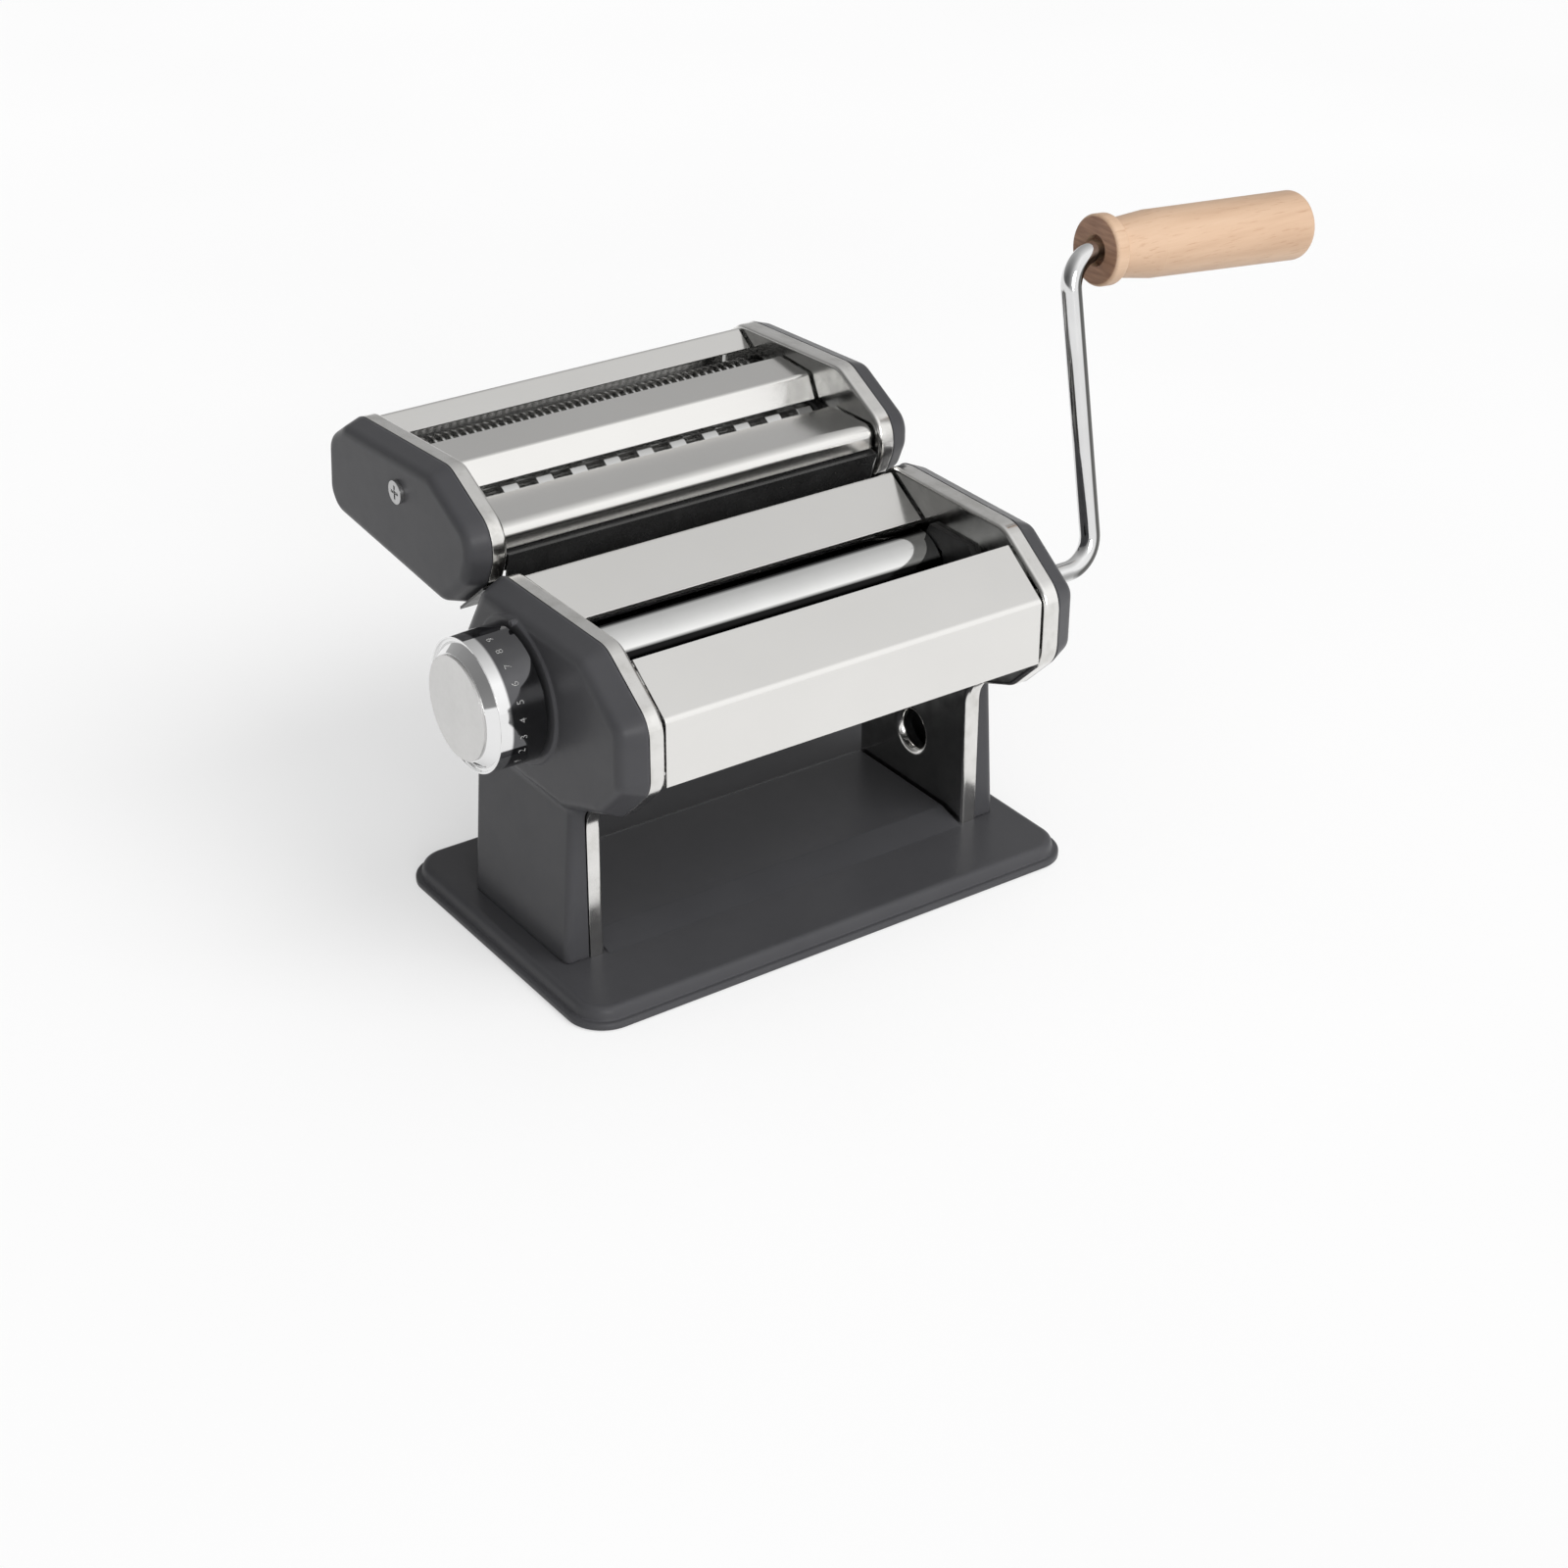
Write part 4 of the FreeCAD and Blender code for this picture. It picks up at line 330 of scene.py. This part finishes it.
def make_roller():
    """Polished roller, painted dark towards the back and along a thin band at the front as
    painted dark reflections.
    """
    s = Shader("polished_roller")
    s.set(Metallic=1.0)
    towards_back = s.split(s.normal())["Y"]
    back = s.span(towards_back, 0.0, 1.0, *ROLLER_BACK_PAINTED_DARK)
    front = s.span(towards_back, 1.0, 0.0, *ROLLER_FRONT_PAINTED_DARK)
    tone = s.tones(s.noise(60), (0.76, 0.76, 0.75), (0.80, 0.80, 0.79))
    # painted dark reflections: near-black where the normal turns back and along the front band
    s.colour(s.mix(s.maths("MAXIMUM", back, front), tone, grey(0.012)))
    s.turned((1800, 40, 40), 0.04, 0.08)
    return s.material


def make_rod():
    """Chromed rod, painted darker along one side as a painted dark reflection."""
    s = Shader("chromed_rod")
    s.set(Metallic=1.0)
    tone = s.tones(s.noise(60), grey(0.70), grey(0.76))
    # painted dark reflection along one side of the rod, set by the world normal
    dark = s.span(s.facing(s.normal(), ROD_PAINTED_REFLECTION_SIDE), 0.0, 0.92, 0.5, 0.62)
    s.colour(s.mix(dark, tone, (0.06, 0.06, 0.055)))
    s.turned((500, 90, 90), 0.06, 0.12)
    return s.material


def make_black(name, low, high, rough, grain=0.1):
    """Black nylon, rubber, or the near-black painted shade given to the hanger plate."""
    s = Shader(name)
    s.colour(s.tones(s.noise(90, detail=4), grey(low), grey(high)))
    s.roughness(s.span(s.noise(300), rough, rough + 0.15))
    s.bump(s.noise(1400), strength=grain, distance=0.1 * MM)
    return s.material


def make_wood():
    """Oiled beech: fine grain along the grip, dark flecks, browner end grain."""
    s = Shader("oiled_beech")
    grain = s.noise(detail=5, stretch=(9, 160, 160), roughness=0.6)
    tone = s.ramp(
        grain,
        (0.28, (0.46, 0.30, 0.195)),
        (0.5, (0.535, 0.365, 0.247)),
        (0.72, (0.59, 0.42, 0.295)),
    )
    flecks = s.span(s.noise(detail=2, stretch=(120, 1300, 1300)), 0.0, 0.4, 0.58, 0.74)
    side = s.mix(flecks, tone, (0.33, 0.17, 0.085))
    rings = s.noise(stretch=(100, 90, 900))
    end = s.tones(rings, (0.25, 0.13, 0.08), (0.42, 0.24, 0.15))
    along = s.facing(s.normal(), tuple(joints["grip_spin"]["axis"]))
    s.colour(s.mix(s.span(along, 1.0, 0.0, -0.97, -0.85), side, end))
    s.roughness(s.span(grain, 0.42, 0.55))
    s.bump(grain, strength=0.06, distance=0.2 * MM)
    return s.material


def dress_nodes():
    """Gives every solid the finish of its material slot, then gives the hanger plate near-black
    as painted shade.
    """
    finishes = {
        "paint": make_paint(),
        "panel": make_sheet(),
        "plate": make_plate(),
        "roller": make_roller(),
        "cutter": make_bright("turned_cutter", (0.74, 0.74, 0.73), 0.16, 0.26, (2200, 60, 60)),
        "steel": make_bright("plain_steel", grey(0.48), 0.28, 0.42, (900, 300, 300)),
        "nylon": make_black("black_nylon", 0.016, 0.024, rough=0.38),
        "knob": make_knob(),
        "dial": make_bright("satin_face", (0.66, 0.655, 0.645), 0.30, 0.40, (40, 700, 700)),
        "rod": make_rod(),
        "grip": make_wood(),
        "rubber": make_black("black_rubber", 0.012, 0.02, rough=0.6),
    }
    for row in frame["record"]["subparts"]:
        data = nodes[row["node"]].data
        data.materials.clear()
        data.materials.append(finishes[row["material_slot"]])
    # the hanger plate is painted near-black as painted shade, in place of the finish of its slot
    painted_shade_black = make_black("gloss_black", 0.012, 0.02, rough=0.2, grain=0.015)
    nodes["hanger_plate"].data.materials[0] = painted_shade_black


def make_floor():
    """A white floor that keeps the shadow, and that mirrors show as the camera does."""
    mesh = bpy.data.meshes.new("floor")
    half = FLOOR_HALF
    corners = [(-half, -half, 0), (half, -half, 0), (half, half, 0), (-half, half, 0)]
    mesh.from_pydata(corners, [], [(0, 1, 2, 3)])
    floor = bpy.data.objects.new("floor", mesh)
    scene.collection.objects.link(floor)
    paint = Shader("floor_paint")
    paint.colour(paint.tones(paint.noise(3, detail=2), grey(0.88), grey(0.91)))
    paint.set(Roughness=0.9, Specular_IOR_Level=0.1)
    glow = paint.add("ShaderNodeEmission", Strength=FLOOR_GLOW)
    rays = paint.add("ShaderNodeLightPath").outputs
    mirrored = paint.maths("MAXIMUM", rays["Is Glossy Ray"], rays["Is Transmission Ray"])
    seen = paint.maths("MAXIMUM", rays["Is Camera Ray"], mirrored)
    both = paint.add("ShaderNodeMixShader")
    paint.link(paint.span(seen, 0.0, FLOOR_GLOW_SHARE, 0.0, 1.0), both.inputs["Fac"])
    paint.link(paint.bsdf.outputs["BSDF"], both.inputs[1])
    paint.link(glow.outputs["Emission"], both.inputs[2])
    output = paint.tree.nodes["Material Output"]
    paint.link(both.outputs["Shader"], output.inputs["Surface"])
    mesh.materials.append(paint.material)


def make_studio():
    """Soft light all round, brightest in front, with a white horizon."""
    world = bpy.data.worlds.new("studio")
    scene.world = world
    world.use_nodes = True
    light = Nodes(world.node_tree)
    towards = light.split(light.add("ShaderNodeTexCoord").outputs["Generated"])
    stops = [((y + 1) / 2, grey(level)) for y, level in STUDIO]
    profile = light.ramp(light.span(towards["Y"], 0, 1, -1, 1), *stops)
    right = light.span(towards["X"], 1.0, STUDIO_SIDE, *STUDIO_RIGHT)
    left = light.span(towards["X"], STUDIO_SIDE, 1.0, *STUDIO_LEFT)
    studio = light.maths("MULTIPLY", profile, light.maths("MULTIPLY", left, right))
    horizon = light.span(towards["Z"], 1.0, 0.0, *HORIZON)
    background = light.tree.nodes["Background"]
    background.inputs["Color"].default_value = (1, 1, 1, 1)
    light.link(light.maths("MAXIMUM", studio, horizon), background.inputs["Strength"])


def make_numeral(digit, angle, middle, radius):
    """Mesh of one numeral bent round the knob, its top towards the knob's face."""
    text = bpy.data.curves.new("numeral_" + digit, "FONT")
    text.body = digit
    text.size = NUMERAL_SIZE
    text.align_x = "CENTER"
    text.align_y = "CENTER"
    text.extrude = NUMERAL_INSET
    text.offset = NUMERAL_THINNING
    shape = bpy.data.objects.new("numeral_" + digit, text)
    mesh = bpy.data.meshes.new_from_object(shape)
    for vertex in mesh.vertices:
        across, along, out = vertex.co
        turn = math.radians(angle) + across / radius
        reach = radius + out
        vertex.co = (
            NUMERAL_X - along,
            middle.y - reach * math.cos(turn),
            middle.z + reach * math.sin(turn),
        )
    bpy.data.objects.remove(shape)
    bpy.data.curves.remove(text)
    return mesh


def make_numerals():
    """Plain numerals round the dial knob, as one piece."""
    low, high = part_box("dial_knob")
    middle = (low + high) / 2
    radius = (high.z - low.z) / 2 - NUMERAL_INSET
    joined = bmesh.new()
    for place, digit in enumerate(NUMERALS):
        angle = NUMERAL_FIRST_DEG + place * NUMERAL_STEP_DEG
        numeral = make_numeral(digit, angle, middle, radius)
        joined.from_mesh(numeral)
        bpy.data.meshes.remove(numeral)
    mesh = bpy.data.meshes.new("dial_numerals")
    joined.to_mesh(mesh)
    joined.free()
    numerals = bpy.data.objects.new("dial_numerals", mesh)
    scene.collection.objects.link(numerals)
    mark = make_bright("engraved_mark", (0.72, 0.72, 0.71), 0.4, 0.55, (900, 900, 900))
    mesh.materials.append(mark)
    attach(numerals, "knob")


def add_sun(name, towards, strength, spread, mirrored):
    """A broad soft lamp; towards points from the object to the lamp."""
    data = bpy.data.lights.new(name, "SUN")
    data.energy = strength
    data.angle = math.radians(spread)
    lamp = bpy.data.objects.new(name, data)
    scene.collection.objects.link(lamp)
    lamp.rotation_mode = "QUATERNION"
    lamp.rotation_quaternion = Vector(towards).to_track_quat("Z", "Y")
    lamp.visible_glossy = mirrored


def make_camera():
    """Camera at the photograph's viewing angle."""
    azimuth = math.radians(CAMERA_AZIMUTH)
    elevation = math.radians(CAMERA_ELEVATION)
    roll = math.radians(CAMERA_ROLL)
    back = Vector(
        (
            math.sin(azimuth) * math.cos(elevation),
            -math.cos(azimuth) * math.cos(elevation),
            math.sin(elevation),
        )
    )
    right = Vector((0, 0, 1)).cross(back).normalized()
    up = back.cross(right)
    across = math.cos(roll) * right + math.sin(roll) * up
    above = math.cos(roll) * up - math.sin(roll) * right
    place = -CAMERA_OFFSET_X * across - CAMERA_OFFSET_Y * above + CAMERA_DISTANCE * back
    turn = Matrix((across, above, back)).transposed().to_4x4()
    data = bpy.data.cameras.new("camera")
    data.lens = SENSOR * FOCAL_PIXELS / IMAGE_PIXELS
    data.sensor_width = SENSOR
    camera = bpy.data.objects.new("camera", data)
    scene.collection.objects.link(camera)
    camera.matrix_world = Matrix.Translation(place * MM) @ turn
    scene.camera = camera


dress_nodes()
make_floor()
make_studio()
make_numerals()
add_sun("key", towards=(0.3, -0.6, 0.74), strength=1.5, spread=40, mirrored=False)
add_sun("edge_light", towards=(-0.3, -0.9, 0.3), strength=0.9, spread=26, mirrored=True)
make_camera()
scene.view_settings.view_transform = "Standard"
